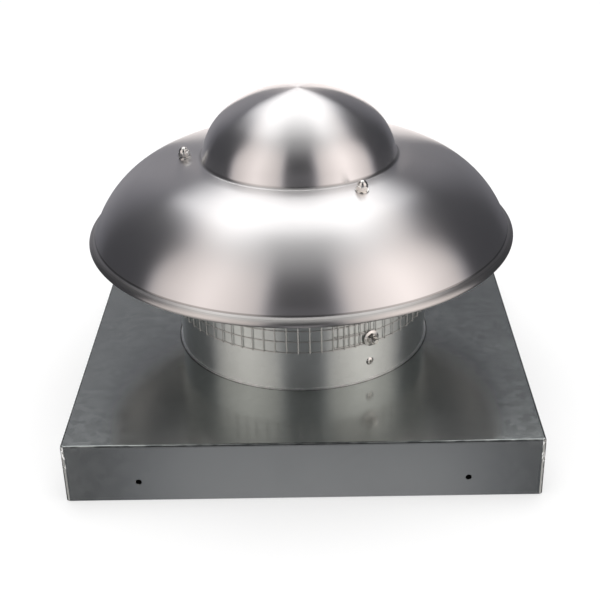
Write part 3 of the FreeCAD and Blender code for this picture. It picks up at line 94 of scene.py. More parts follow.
def meshFrom(bm, name, crease=sharpAngle):
    for face in bm.faces:
        face.smooth = True
    mesh = bpy.data.meshes.new(name)
    bm.to_mesh(mesh)
    bm.free()
    mesh.set_sharp_from_angle(angle=math.radians(crease))
    return mesh


def outwards(bm):
    bmesh.ops.recalc_face_normals(bm, faces=bm.faces)
    if bm.calc_volume(signed=True) < 0:
        bmesh.ops.reverse_faces(bm, faces=bm.faces)


def refined(node, name, material):  # merged copy of a CAD node, whose own mesh stays as it is
    source = nodes[node].data
    bm = bmesh.new()
    corners = [bm.verts.new(v.co) for v in source.vertices]
    for polygon in source.polygons:
        bm.faces.new([corners[i] for i in polygon.vertices])
    bmesh.ops.remove_doubles(bm, verts=bm.verts, dist=mergeReach)
    bmesh.ops.dissolve_degenerate(bm, edges=bm.edges, dist=sliverReach)
    mesh = meshFrom(bm, name)
    mesh.materials.append(material)
    obj = linked(name, mesh)
    even = obj.modifiers.new("even shading", "WEIGHTED_NORMAL")
    even.keep_sharp = True
    even.weight = 100  # only a face's area counts
    return settle(applied(obj), node)


def runLengths(points):  # how far along a profile each of its points comes
    runs = [0.0]
    for before, after in zip(points, points[1:]):
        runs.append(runs[-1] + math.dist(before, after))
    return runs


def hexReach(angle, radius, across):  # a radius cut off by a hexagon's flats
    side = (angle + math.pi / 6) % (math.pi / 3) - math.pi / 6
    return min(radius, across / 2 / math.cos(side))


def turnedMesh(name, profile, segments, across=0.0, crease=sharpAngle):
    # profile of (radius, height) turned about Z, held inside a hexagon where across is given
    bm = bmesh.new()
    layer = bm.loops.layers.uv.new("run")
    runs = runLengths(profile)
    rows = []
    for radius, height in profile:
        if radius < onAxis:
            rows.append([bm.verts.new((0, 0, height))])
            continue
        row = []
        for i in range(segments):
            angle = math.tau * i / segments
            reach = hexReach(angle, radius, across) if across else radius
            row.append(bm.verts.new((reach * math.cos(angle), reach * math.sin(angle), height)))
        rows.append(row)
    for j, (upper, lower) in enumerate(zip(rows, rows[1:])):
        for i in range(segments):
            after = (i + 1) % segments
            left, right = i / segments, (i + 1) / segments
            middle = (left + right) / 2
            if len(upper) == 1:
                ring = [(upper[0], middle, j), (lower[i], left, j + 1), (lower[after], right, j + 1)]
            elif len(lower) == 1:
                ring = [(upper[i], left, j), (lower[0], middle, j + 1), (upper[after], right, j)]
            else:
                ring = [(upper[i], left, j), (lower[i], left, j + 1),
                        (lower[after], right, j + 1), (upper[after], right, j)]
            face = bm.faces.new([corner for corner, u, k in ring])
            for loop, (corner, u, k) in zip(face.loops, ring):
                loop[layer].uv = (u, runs[k])
    outwards(bm)
    return meshFrom(bm, name, crease)


def closedRing(profile):  # a profile that closes on itself, for washers and nuts
    return list(profile) + [profile[0]]


def inMetres(points):
    return [(x * mm, y * mm) for x, y in points]


# node trees

real, whole, vector = "NodeSocketFloat", "NodeSocketInt", "NodeSocketVector"
paint, geometry = "NodeSocketMaterial", "NodeSocketGeometry"


def treeOf(*values):  # the tree that the first socket or node among them is in
    return next(value.id_data for value in values if hasattr(value, "id_data"))


def feed(socket, value):  # a value, or another node's output
    if isinstance(value, bpy.types.NodeSocket):
        treeOf(socket).links.new(value, socket)
    else:
        socket.default_value = value


def grow(tree, kind, inputs=None, **settings):
    # one node, its inputs by name or number; gives its first output
    node = tree.nodes.new(kind)
    for name, value in settings.items():
        setattr(node, name, value)
    for name, value in (inputs or {}).items():
        feed(next(s for i, s in enumerate(node.inputs) if s.enabled and name in (i, s.name)), value)
    return next((s for s in node.outputs if s.enabled), None)


def other(socket, name):  # another output of the same node
    return socket.node.outputs[name]


def sums(kind, *values):
    return grow(treeOf(*values), "ShaderNodeMath", dict(enumerate(values)), operation=kind)


def times(value, *factors):
    for factor in factors:
        value = sums("MULTIPLY", value, factor)
    return value


def plus(first, second):
    return sums("ADD", first, second)


def minus(first, second):
    return sums("SUBTRACT", first, second)


def sizeOf(value):
    return sums("ABSOLUTE", value)


def highest(first, second):
    return sums("MAXIMUM", first, second)


def joined(*parts):
    join = treeOf(*parts).nodes.new("GeometryNodeJoinGeometry")
    for part in parts:
        feed(join.inputs[0], part)
    return join.outputs[0]


def copiesOf(part, count, place, **more):  # the part, once at each place
    tree = treeOf(part)
    points = grow(tree, "GeometryNodePoints", {"Count": count, "Position": place})
    return grow(tree, "GeometryNodeInstanceOnPoints", {"Points": points, "Instance": part, **more})


def vectors(kind, first, second=None):
    inputs = {0: first}
    if second is not None:
        inputs["Scale" if kind == "SCALE" else 1] = second
    return grow(treeOf(first), "ShaderNodeVectorMath", inputs, operation=kind)


def combined(**axes):
    return grow(treeOf(*axes.values()), "ShaderNodeCombineXYZ", axes)


def placeRound(angle, reach, **height):
    return combined(X=times(sums("COSINE", angle), reach), Y=times(sums("SINE", angle), reach), **height)


def parted(value):
    return list(grow(treeOf(value), "ShaderNodeSeparateXYZ", {"Vector": value}).node.outputs)


def noise(spot, scale, detail, **more):
    inputs = {"Vector": spot, "Scale": scale, "Detail": detail, **more}
    return grow(treeOf(spot), "ShaderNodeTexNoise", inputs)


def ranged(value, low, high, start=0.0, end=1.0, smooth=False):
    return grow(treeOf(value), "ShaderNodeMapRange", {
        "Value": value, "From Min": low, "From Max": high, "To Min": start, "To Max": end},
        interpolation_type="SMOOTHSTEP" if smooth else "LINEAR")


def between(value, low, high, soft):  # 1 between two limits, with soft edges
    rise = ranged(value, low - soft, low + soft, smooth=True)
    fall = ranged(value, high - soft, high + soft, 1.0, 0.0, smooth=True)
    return times(rise, fall)


def newTree(name, kind, inputs, outputs):  # each socket's label, with its default or its kind
    tree = bpy.data.node_groups.new(name, kind)
    for label, value in inputs.items():
        socketKind = {float: real, int: whole}.get(type(value), value)
        socket = tree.interface.new_socket(name=label, in_out="INPUT", socket_type=socketKind)
        if socketKind != value:
            socket.default_value = value
    for label, socketKind in outputs.items():
        tree.interface.new_socket(name=label, in_out="OUTPUT", socket_type=socketKind)
    given = tree.nodes.new("NodeGroupInput")
    return tree, {socket.name: socket for socket in given.outputs}


def geometryTree(name, inputs):
    return newTree(name, "GeometryNodeTree", {"Geometry": geometry, **inputs, "Material": paint},
                   {"Geometry": geometry})


def shaderGroup(name, inputs, outputs):
    return newTree(name, "ShaderNodeTree", {"Vector": vector, **inputs}, outputs)


def smoothed(part):
    return grow(treeOf(part), "GeometryNodeSetShadeSmooth", {"Geometry": part})


def finishTree(tree, given, grownPart):  # every geometry tree ends the same way
    solid = grow(tree, "GeometryNodeRealizeInstances", {"Geometry": grownPart})
    painted = grow(tree, "GeometryNodeSetMaterial", {"Geometry": solid, "Material": given["Material"]})
    grow(tree, "NodeGroupOutput", {"Geometry": painted})


def grown(name, tree, values, base=None):  # the tree's result as a plain mesh
    host = linked(name, base or bpy.data.meshes.new(name))
    modifier = host.modifiers.new("grow", "NODES")
    modifier.node_group = tree
    for item in tree.interface.items_tree:
        if item.in_out == "INPUT" and item.name in values:
            modifier[item.identifier] = values[item.name]
    return applied(host)


def roundTree():
    # the mesh given, again and again round the axis
    tree, given = geometryTree("round the axis", {
        "Count": 3, "First Angle": 0.0, "Reach": 0.0, "Height": 0.0, "Lean": 0.0,
        "Loose Turn": 0.0, "Seed": 3})
    index = grow(tree, "GeometryNodeInputIndex")
    step = sums("DIVIDE", math.tau, given["Count"])
    angle = plus(times(index, step), given["First Angle"])
    place = placeRound(angle, given["Reach"], Z=given["Height"])
    turn = grow(tree, "FunctionNodeEulerToRotation", {"Euler": combined(Y=given["Lean"], Z=angle)})
    copies = copiesOf(given["Geometry"], given["Count"], place, Rotation=turn)
    loose = grow(tree, "FunctionNodeRandomValue", {
        "Min": 0.0, "Max": given["Loose Turn"], "Seed": given["Seed"]}, data_type="FLOAT")
    own = grow(tree, "FunctionNodeEulerToRotation", {"Euler": combined(Z=loose)})
    spun = grow(tree, "GeometryNodeRotateInstances", {
        "Instances": copies, "Rotation": own, "Local Space": True})
    finishTree(tree, given, spun)
    return tree


roundAxis = roundTree()


def repeated(node, mesh, material, **values):
    values = {"Material": material, "Count": legCount, "First Angle": legStart, **values}
    values = {label.replace("_", " "): value for label, value in values.items()}
    return settle(grown(node.replace("_", " "), roundAxis, values, mesh), node)


# finishes

groupLook = {
    "smudgeSoft": 0.35,
    "crystalBend": 0.006, "bendScale": 1.6, "fernScale": 7.0, "crystalShare": 0.7, "fernShare": 0.3,
    "dustSlope": (0.6, 1.0), "dustPatches": (0.42, 0.72),
}


def smudgeGroup():
    # soft marks left by handling
    tree, given = shaderGroup("smudges", {"Scale": 8.0, "Cover": 0.5}, {"Mask": real})
    broad = noise(given["Vector"], given["Scale"], 3.0, Roughness=0.5, Distortion=0.6)
    low = minus(1.0, given["Cover"])
    mask = ranged(broad, low, plus(low, groupLook["smudgeSoft"]), smooth=True)
    grow(tree, "NodeGroupOutput", {"Mask": mask})
    return tree


def spangleGroup():
    # crystals of a zinc coating
    tree, given = shaderGroup("zinc spangle", {"Scale": 90.0}, {"Tone": real, "Height": real})
    spot, scale = given["Vector"], given["Scale"]
    bent = other(noise(spot, times(scale, groupLook["bendScale"]), 2.0), "Color")
    spot = vectors("ADD", spot, vectors("SCALE", bent, groupLook["crystalBend"]))
    cells = grow(tree, "ShaderNodeTexVoronoi", {"Vector": spot, "Scale": scale})
    tone = grow(tree, "ShaderNodeSeparateColor", {"Color": other(cells, "Color")})
    fern = noise(spot, times(scale, groupLook["fernScale"]), 3.0)
    mixed = plus(times(tone, groupLook["crystalShare"]), times(fern, groupLook["fernShare"]))
    grow(tree, "NodeGroupOutput", {"Tone": mixed, "Height": other(cells, "Distance")})
    return tree


def grainGroup():
    # fine lines across the second coordinate, such as tool marks
    tree, given = shaderGroup("tool marks", {"Lines": 900.0, "Length": 6.0}, {"Height": real})
    x, y = parted(given["Vector"])[:2]
    spot = combined(X=times(x, given["Length"]), Y=times(y, given["Lines"]))
    grow(tree, "NodeGroupOutput", {"Height": noise(spot, 1.0, 4.0, Roughness=0.7)})
    return tree


def dustGroup():
    # pale dust where a face looks up
    tree, given = shaderGroup("settled dust", {"Scale": 60.0, "Amount": 0.1}, {"Mask": real})
    upward = parted(other(grow(tree, "ShaderNodeNewGeometry"), "Normal"))[2]
    level = ranged(upward, *groupLook["dustSlope"], smooth=True)
    specks = noise(given["Vector"], given["Scale"], 8.0, Roughness=0.75)
    patchy = ranged(specks, *groupLook["dustPatches"])
    grow(tree, "NodeGroupOutput", {"Mask": times(level, patchy, given["Amount"])})
    return tree


smudges, spangle, toolMarks, settledDust = smudgeGroup(), spangleGroup(), grainGroup(), dustGroup()


def give(shader, **inputs):
    for label, value in inputs.items():
        feed(shader.inputs[label.replace("_", " ")], value)


def newFinish(name, **constants):  # a material with its own shader; constants stay on the shader's sockets
    material = bpy.data.materials.new(name)
    material.use_nodes = True
    tree = material.node_tree
    shader = tree.nodes["Principled BSDF"]
    give(shader, **constants)
    return material, tree, shader


def placed(group, **inputs):
    return grow(treeOf(*inputs.values()), "ShaderNodeGroup", inputs, node_tree=group)


def blended(factor, first, second):
    inputs = {"Factor": factor, "A": first, "B": second}
    return grow(treeOf(factor), "ShaderNodeMix", inputs, data_type="RGBA")


def coords(tree):
    return other(grow(tree, "ShaderNodeTexCoord"), "Object")


def bumped(shader, height, strength, distance):
    give(shader, Normal=grow(treeOf(shader), "ShaderNodeBump", {
        "Height": height, "Strength": strength, "Distance": distance}))


def grainedRound(shader):  # the metal's grain runs round the axis
    give(shader, Tangent=grow(treeOf(shader), "ShaderNodeTangent", direction_type="RADIAL", axis="Z"))


def grey(level, warm=0.0):
    return (level * (1 + warm), level, level * (1 - warm), 1.0)


quarterTurn = 0.25  # turns a highlight's stretch across the grain

spunLook = {
    "tone": (0.80, 0.785, 0.785, 1), "dull": (0.75, 0.735, 0.735, 1), "lipShade": (0.62, 0.605, 0.59, 1),
    # the darkest colour below is painted shade, for the lip's grooves and the line past the crease
    "paintedShade": (0.20, 0.19, 0.18, 1), "roughness": 0.29, "dullRoughness": 0.34, "markRoughness": 0.015,
    "anisotropy": 0.88, "lines": 1400.0, "coarseLines": 110.0, "coarseShare": 0.8,
    "lineDepth": 0.01 * mm, "lineStrength": 0.055,
    "lip": (40 * mm, 0.8 * mm),  # how far the lip's painted shade runs, and its soft edge
    "grooves": [(-2.5 * mm, -0.4 * mm, 0.6), (2.2 * mm, 3.2 * mm, 0.25)],  # painted shade in the lip's grooves, from and to past the lip's start; darkness
    "grooveSoft": 0.6 * mm,
    "line": (0.6 * mm, 4.2 * mm, 1.2 * mm), "lineShare": (0.3, 0.55),  # painted shade in a dark line past the crease
}


def spunAluminium(crease, lip):  # how far along the profile from the pole the crease and the lip come
    look = spunLook
    material, tree, shader = newFinish(
        "spun aluminium", Metallic=1.0, Anisotropic=look["anisotropy"], Anisotropic_Rotation=quarterTurn)
    run = grow(tree, "ShaderNodeUVMap", uv_map="run")
    along = parted(run)[1]
    marks = placed(toolMarks, Vector=run, Lines=look["lines"], Length=5.0)
    coarse = placed(toolMarks, Vector=run, Lines=look["coarseLines"], Length=3.0)
    touched = placed(smudges, Vector=coords(tree), Scale=9.0, Cover=0.5)
    bright = blended(touched, look["tone"], look["dull"])
    lipRun, lipSoft = look["lip"]
    # the lip is darkened: painted shade where it would mirror the bright ceiling
    shadedColour = blended(between(along, lip, lip + lipRun, lipSoft), bright, look["lipShade"])
    # painted shade in each groove of the lip
    for start, end, share in look["grooves"]:
        groove = times(between(along, lip + start, lip + end, look["grooveSoft"]), share)
        shadedColour = blended(groove, shadedColour, look["paintedShade"])
    # painted shade along the crease, in the same dark colour
    start, end, soft = look["line"]
    line = times(between(along, crease + start, crease + end, soft),
                 ranged(coarse, 0.35, 0.6, *look["lineShare"]))
    rough = plus(ranged(marks, 0.3, 0.7, -look["markRoughness"], look["markRoughness"]),
                 ranged(touched, 0.0, 1.0, look["roughness"], look["dullRoughness"]))
    give(shader, Base_Color=blended(line, shadedColour, look["paintedShade"]), Roughness=rough)
    height = plus(marks, times(coarse, look["coarseShare"]))
    bumped(shader, height, look["lineStrength"], look["lineDepth"])
    grainedRound(shader)
    return material


zincLook = {
    "spangle": 130.0, "metallic": 0.94, "tone": 0.52, "tint": (0.955, 1.0, 0.975), "contrast": 0.04,
    "stainTone": 0.8, "stain": 0.2, "roughness": 0.16, "crystalRoughness": 0.015, "stainRoughness": 0.05,
    "dust": 0.05, "dustTone": (0.5, 0.02), "drawn": 0.0,  # drawn: pull of the rolling marks round the axis
    "wave": 0.35, "waveHeight": 12.0, "crystalHeight": 0.01, "relief": 0.35, "reliefDepth": 0.3 * mm,
    "foot": None, "footRun": 0.4 * mm, "footHighlight": 0.93,  # painted highlight below this height, along the neck's foot
    "corners": None,
}


def galvanised(name, **own):
    look = {**zincLook, **own}
    contrast, roughness, spread = look["contrast"], look["roughness"], look["crystalRoughness"]
    material, tree, shader = newFinish(
        name, Metallic=look["metallic"], Anisotropic=look["drawn"], Anisotropic_Rotation=quarterTurn)
    spot = coords(tree)
    zinc = placed(spangle, Vector=spot, Scale=look["spangle"])
    touched = placed(smudges, Vector=spot, Scale=5.0, Cover=0.55)
    dark, light, stain = (tuple(look["tone"] * level * c for c in look["tint"]) + (1.0,)
                          for level in (1 - contrast, 1 + contrast, look["stainTone"]))
    colour = blended(zinc, dark, light)
    colour = blended(times(touched, look["stain"]), colour, stain)
    dusty = placed(settledDust, Vector=spot, Scale=45.0, Amount=look["dust"])
    colour = blended(dusty, colour, grey(*look["dustTone"]))
    rough = plus(ranged(zinc, 0.2, 0.8, roughness - spread, roughness + spread),
                 times(touched, look["stainRoughness"]))
    if look["corners"]:
        colour, bead = cornerMarks(spot, colour, look["corners"])
        give(shader, Metallic=ranged(bead, 0.0, 1.0, look["metallic"], look["corners"]["weldMetallic"]))
    # painted highlight: a bright ragged line along the neck's foot
    if look["foot"]:
        z = parted(spot)[2]
        ragged = ranged(noise(spot, 160.0, 3.0), 0.4, 0.6, 0.2, 1.0)
        low = ranged(z, look["foot"], look["foot"] + look["footRun"], 1.0, 0.0)
        colour = blended(times(low, ragged), colour, grey(look["footHighlight"]))
    give(shader, Base_Color=colour, Roughness=rough)
    height = plus(times(noise(spot, 7.0, 1.0), look["waveHeight"] * look["wave"]),
                  times(other(zinc, "Height"), look["crystalHeight"]))
    bumped(shader, height, look["relief"], look["reliefDepth"])
    if look["drawn"]:
        grainedRound(shader)
    return material


cornerLook = {  # metres; inward is measured from the cap's sides
    "half": 241.5 * mm, "top": 65.2 * mm, "topRun": 1.0 * mm, "stray": 0.6 * mm,
    "strip": 5.5 * mm, "stripSoft": 0.6 * mm, "stripShare": 0.5, "ground": (0.33, 0.36, 0.36, 1),
    # the bend colour is painted shade, on the top bend and along each upright corner
    "edge": (1.0 * mm, 1.8 * mm), "edgeShare": 0.85, "bend": (0.13, 0.14, 0.14, 1),
    "bead": (1.4 * mm, 4.0 * mm, 0.8 * mm), "from": 34 * mm, "fromRun": 8 * mm,
    "weld": (0.9, 0.9, 0.89, 1), "weldMetallic": 0.15,
    "ring": (142.0 * mm, 143.6 * mm, 0.7 * mm), "ringShare": (0.5, 0.85), "ringTone": 0.05,
    "bendIn": (2.4 * mm, 1.7 * mm), "bendDown": (1.6 * mm, 0.8 * mm), "bendShare": (0.5, 1.0),
}


def cornerMarks(spot, colour, look):
    # ground strip beside each upright corner, painted shade along its bend and the bright strokes of its
    # weld, then painted shadow round the neck's foot and painted shade on the top bend
    x, y, z = parted(spot)
    wander = noise(spot, 90.0, 2.0)
    stray = ranged(wander, 0.3, 0.7, -look["stray"], look["stray"])
    fromX, fromY = sizeOf(x), sizeOf(y)
    nearest = sums("MINIMUM", plus(fromX, stray), plus(fromY, stray))
    inward = minus(look["half"], nearest)
    upright = times(between(inward, -10 * mm, look["strip"], look["stripSoft"]),
                    ranged(z, look["top"], look["top"] + look["topRun"], 1.0, 0.0))
    colour = blended(times(upright, look["stripShare"]), colour, look["ground"])
    # painted shade along each upright corner's bend
    colour = blended(ranged(inward, *look["edge"], look["edgeShare"], 0.0), colour, look["bend"])

    # strokes of the weld
    stretched = grow(treeOf(spot), "ShaderNodeMapping", {"Vector": spot, "Scale": (1.0, 1.0, 0.45)})
    strokes = ranged(noise(stretched, 300.0, 1.0, Distortion=1.2), 0.52, 0.56)
    high = ranged(z, look["from"], look["from"] + look["fromRun"], smooth=True)
    bead = times(strokes, between(inward, *look["bead"]), upright, high)
    colour = blended(bead, colour, look["weld"])

    # painted shadow round the neck's foot
    reach = vectors("LENGTH", combined(X=x, Y=y))
    paintedShade = times(between(reach, *look["ring"]), ranged(wander, 0.3, 0.6, *look["ringShare"]))
    colour = blended(paintedShade, colour, grey(look["ringTone"]))

    # painted shade on the top bend, where it would shine
    side = highest(fromX, fromY)
    bend = times(ranged(side, *(look["half"] - inset for inset in look["bendIn"])),
                 ranged(z, *(look["top"] - drop for drop in look["bendDown"])),
                 ranged(wander, 0.4, 0.6, *look["bendShare"]))
    return blended(bend, colour, look["bend"]), bead


metalWear = {"smudges": 0.3, "grain": 8, "dull": 0.78, "relief": 0.3}  # the first two are shares of the scale


def plainMetal(name, colour, roughness, spread=0.06, scale=140.0, depth=0.05 * mm):
    material, tree, shader = newFinish(name, Metallic=1.0)
    spot = coords(tree)
    touched = placed(smudges, Vector=spot, Scale=scale * metalWear["smudges"], Cover=0.5)
    fine = noise(spot, scale * metalWear["grain"], 3.0)
    dull = tuple(c * metalWear["dull"] for c in colour[:3]) + (1.0,)
    rough = ranged(touched, 0.0, 1.0, roughness - spread / 2, roughness + spread)
    give(shader, Base_Color=blended(touched, colour, dull), Roughness=rough)
    bumped(shader, fine, metalWear["relief"], depth)
    return material


def motorPaint():
    material, tree, shader = newFinish("motor enamel", Metallic=0.0, Coat_Roughness=0.2)
    spot = coords(tree)
    orange = noise(spot, 420.0, 2.0)
    dusty = placed(settledDust, Vector=spot, Scale=50.0, Amount=0.25)
    touched = placed(smudges, Vector=spot, Scale=16.0, Cover=0.5)
    base = blended(touched, grey(0.022), grey(0.035, 0.02))
    give(shader, Base_Color=blended(dusty, base, grey(0.28, 0.05)),
         Roughness=ranged(touched, 0.0, 1.0, 0.32, 0.46))
    bumped(shader, orange, 0.25, 0.2 * mm)
    return material


def layered(name, tones, roughness, relief, waves, settings, **constants):
    # bands or rings between two tones
    material, tree, shader = newFinish(name, **constants)
    layers = other(grow(tree, "ShaderNodeTexWave", {"Vector": coords(tree), **waves}, **settings), "Fac")
    give(shader, Base_Color=blended(layers, *tones), Roughness=ranged(layers, 0.0, 1.0, *roughness))
    bumped(shader, layers, *relief)
    return material


def rubber():
    material, tree, shader = newFinish("black rubber", Metallic=0.0)
    spot = coords(tree)
    fine = noise(spot, 900.0, 4.0)
    dusty = placed(settledDust, Vector=spot, Scale=80.0, Amount=0.35)
    give(shader, Base_Color=blended(dusty, grey(0.018), grey(0.2, 0.04)),
         Roughness=ranged(fine, 0.3, 0.7, 0.62, 0.78))
    bumped(shader, fine, 0.3, 0.2 * mm)
    return material


fineWear = {"scale": 260.0, "depth": 0.01 * mm}

finishes = {  # by the record's slots
    "galvanised": galvanised("galvanised steel"),
    "blade_aluminium": plainMetal("mill aluminium", (0.66, 0.66, 0.65, 1), 0.34, scale=60.0),
    "wire": plainMetal("tinned wire", (0.80, 0.80, 0.78, 1), 0.34, scale=300.0),
    "fastener_steel": plainMetal("bright plated steel", (0.78, 0.77, 0.74, 1), 0.14, **fineWear),
    "turned_steel": plainMetal("turned steel", (0.52, 0.51, 0.50, 1), 0.25, scale=160.0),
    "motor_paint": motorPaint(),
    "lamination": layered(
        "steel sheets", (grey(0.10), grey(0.30)), (0.55, 0.38), (0.5, 0.15 * mm),
        {"Scale": 320.0, "Distortion": 0.2}, {"wave_type": "BANDS", "bands_direction": "Z"}, Metallic=0.85),
    "copper": layered(
        "winding copper", ((0.20, 0.055, 0.02, 1), (0.66, 0.26, 0.10, 1)), (0.5, 0.28), (0.8, 0.5 * mm),
        {"Scale": 190.0, "Distortion": 1.4, "Detail": 1.0, "Detail Scale": 1.4},
        {"wave_type": "RINGS", "rings_direction": "Z"}, Metallic=0.9, Coat_Roughness=0.15),
    "bronze": plainMetal("sintered bronze", (0.48, 0.30, 0.12, 1), 0.42, scale=200.0),
    "rubber": rubber(),
}
capZinc = galvanised("cap zinc", corners=cornerLook)
neckZinc = galvanised(
    "neck zinc", tone=0.82, roughness=0.37, contrast=0.03, dust=0.02, wave=0.1, drawn=0.93, foot=66.8 * mm)
print("finishes:", len(finishes))


def finishOf(node):
    return finishes[slotOf[node]]


# hood: one spun skin, outside and inside

hoodShape = {  # millimetres and degrees; the solid's, but for a tighter crease, fuller brim and rounder lip
    "deck": 65.5, "rise": 213.8, "sheet": 1.2, "radius": 234.4, "crease": 119.0,
    "brimAngle": 9.3, "brimCrownRadius": 285.0, "brimCrownAngle": 6.6, "brimEndAngle": 70.2,
    "crownAngle": 36.4, "shoulderRadius": 66.0, "wallAngle": 73.8, "wallRun": 9.74, "fillet": 5.0,
    "ringAngle": 4.3, "ringRun": 8.74, "cove": 2.0, "lipAngle": 27.0, "lipRun": 2.0,
    "lipCrownRadius": 9.0, "lipTurn": 60.0, "lipRadius": 3.0, "lipEnd": 250.0,
    "segments": 288, "leastSteps": 3, "stepRun": 4, "stepTurn": 9,
}


def spanOf(arcs):  # how far out and down they go together
    outward = downward = 0.0
    for before, after, size in arcs:
        if before == after:  # straight
            outward, downward = outward + size * cosOf(after), downward + size * sinOf(after)
        else:
            outward += size * (sinOf(after) - sinOf(before))
            downward += size * (cosOf(before) - cosOf(after))
    return outward, downward


def hoodArcs(shape):
    # (slope from, slope to, radius or run) from the pole out, and the whole dome's drop
    crown, wall, ring = shape["crownAngle"], shape["wallAngle"], shape["ringAngle"]
    lip, lipTurn, brimEnd = shape["lipAngle"], shape["lipTurn"], shape["brimEndAngle"]
    brimTurn = shape["brimAngle"] + shape["brimCrownAngle"]
    dome = [(crown, wall, shape["shoulderRadius"]), (wall, wall, shape["wallRun"]),
            (wall, ring, -shape["fillet"]), (ring, ring, shape["ringRun"])]
    dome.insert(0, (0.0, crown, (shape["crease"] - spanOf(dome)[0]) / sinOf(crown)))
    brim = [(shape["brimAngle"], brimTurn, shape["brimCrownRadius"])]
    edge = [(brimEnd, lip, -shape["cove"]), (lip, lip, shape["lipRun"]),
            (lip, lipTurn, shape["lipCrownRadius"])]
    lipReach = spanOf(edge)[0] + spanOf([(lipTurn, 90, shape["lipRadius"])])[0]
    brimWidth = shape["radius"] - lipReach - shape["crease"] - spanOf(brim)[0]
    brim.append((brimTurn, brimEnd, brimWidth / (sinOf(brimEnd) - sinOf(brimTurn))))
    edge.append((lipTurn, shape["lipEnd"], shape["lipRadius"]))
    return dome + brim + edge, spanOf(dome)[1]


def hoodSkin(shape):
    # (radius, height, slope) from the pole out to the end of the rolled lip
    arcs, rise = hoodArcs(shape)
    x, height = 0.0, shape["deck"] + shape["rise"] + rise
    skin = [(x, height, 0.0)]
    for before, after, size in arcs:
        bend = abs(after - before)
        count = max(shape["leastSteps"], math.ceil(abs(size) * math.radians(bend) / shape["stepRun"]),
                    math.ceil(bend / shape["stepTurn"])) if bend else 1
        for i in range(1, count + 1):
            slope = before + (after - before) * i / count
            outward, downward = spanOf([(before, slope, size)])
            skin.append((x + outward, height - downward, slope))
        x, height = skin[-1][:2]
    return skin


def makeHood():
    skin = hoodSkin(hoodShape)
    sheet = hoodShape["sheet"]
    outer = inMetres([(x, height) for x, height, slope in skin])
    inner = inMetres([(x - sheet * sinOf(slope), height - sheet * cosOf(slope))
                      for x, height, slope in skin[1:]])
    pole = (0.0, (skin[0][1] - sheet) * mm)
    mesh = turnedMesh("hood skin", outer + inner[::-1] + [pole], hoodShape["segments"])
    runs = runLengths(outer)
    slopes = [slope for x, height, slope in skin]
    wallEnd = len(slopes) - 1 - slopes[::-1].index(hoodShape["wallAngle"])
    lipStart = slopes.index(hoodShape["lipAngle"])
    mesh.materials.append(spunAluminium(runs[wallEnd], runs[lipStart]))
    return settle(linked("spun hood", mesh), "hood")


hood = makeHood()
print("hood:", len(hood.data.vertices), "vertices")


# bird screen: welded wire, one strip whose ends lap beside a leg

screenShape = {
    "wire": 0.6 * mm, "ringReach": 140.6 * mm, "postReach": 141.8 * mm, "bottom": 110.5 * mm,
    "top": 272.3 * mm, "pitch": 12.7 * mm, "rings": 13, "posts": 72,
    "postPoints": 10, "wireSides": 6, "weldSides": (6, 4), "weldSize": 1.15,
    "wobbleScale": 14.0, "wobbleShare": (0.25, 0.25, 2.0),
}
lapShape = {  # the end that lies over the start
    "start": 14.0, "end": 33.0, "posts": 4, "firstPost": 0.35, "arcPoints": 14, "up": 2.1 * mm,
    "short": 6 * mm, "seed": 7.0,
}


def screenTree():
    tree, given = geometryTree("welded screen", {
        "Wire": 0.0006, "Ring Reach": 0.14, "Post Reach": 0.14, "Bottom": 0.1,
        "Top": 0.2, "Pitch": 0.0127, "Rings": 13, "Posts": 72,
        "First Angle": 0.0, "Post Step": 0.1, "Arc Start": 0.0, "Sweep": 6.28,
        "Arc Points": 216, "Wobble": 0.00025, "Seed": 1.0})
    index = grow(tree, "GeometryNodeInputIndex")
    wire, bottom = given["Wire"], given["Bottom"]

    def levelOf(number):
        return plus(times(number, given["Pitch"]), bottom)

    def aroundAt(number, reach, **height):
        angle = plus(times(number, given["Post Step"]), given["First Angle"])
        return placeRound(angle, reach, **height)

    # rings, one above the other
    arc = grow(tree, "GeometryNodeCurveArc", {
        "Resolution": given["Arc Points"], "Radius": given["Ring Reach"],
        "Start Angle": given["Arc Start"], "Sweep Angle": given["Sweep"]}, mode="RADIUS")
    rings = copiesOf(arc, given["Rings"], combined(Z=levelOf(index)))

    # posts round them
    straight = grow(tree, "GeometryNodeCurvePrimitiveLine", {
        "Start": combined(Z=minus(bottom, wire)), "End": combined(Z=given["Top"])})
    bent = grow(tree, "GeometryNodeResampleCurve", {"Curve": straight, "Count": screenShape["postPoints"]})
    posts = copiesOf(bent, given["Posts"], aroundAt(index, given["Post Reach"]))

    # slightly uneven, as wire is
    loose = grow(tree, "GeometryNodeRealizeInstances", {"Geometry": joined(rings, posts)})
    uneven = grow(tree, "ShaderNodeTexNoise", {
        "Vector": grow(tree, "GeometryNodeInputPosition"), "W": given["Seed"],
        "Scale": screenShape["wobbleScale"], "Detail": 2.0}, noise_dimensions="4D")
    centred = vectors("SUBTRACT", other(uneven, "Color"), (0.5, 0.5, 0.5))
    shift = vectors("SCALE", vectors("MULTIPLY", centred, screenShape["wobbleShare"]), given["Wobble"])
    moved = grow(tree, "GeometryNodeSetPosition", {"Geometry": loose, "Offset": shift})
    section = grow(tree, "GeometryNodeCurvePrimitiveCircle", {
        "Resolution": screenShape["wireSides"], "Radius": wire}, mode="RADIUS")
    wires = grow(tree, "GeometryNodeCurveToMesh", {
        "Curve": moved, "Profile Curve": section, "Fill Caps": True})

    # a squeezed weld at each crossing
    column = sums("FLOOR", sums("DIVIDE", index, given["Rings"]))
    row = minus(index, times(column, given["Rings"]))
    spot = aroundAt(column, plus(given["Ring Reach"], wire), Z=levelOf(row))
    segments, bands = screenShape["weldSides"]
    blob = grow(tree, "GeometryNodeMeshUVSphere", {
        "Segments": segments, "Rings": bands, "Radius": times(wire, screenShape["weldSize"])})
    welds = copiesOf(blob, times(given["Rings"], given["Posts"]), spot)
    finishTree(tree, given, smoothed(joined(welds, wires)))
    return tree


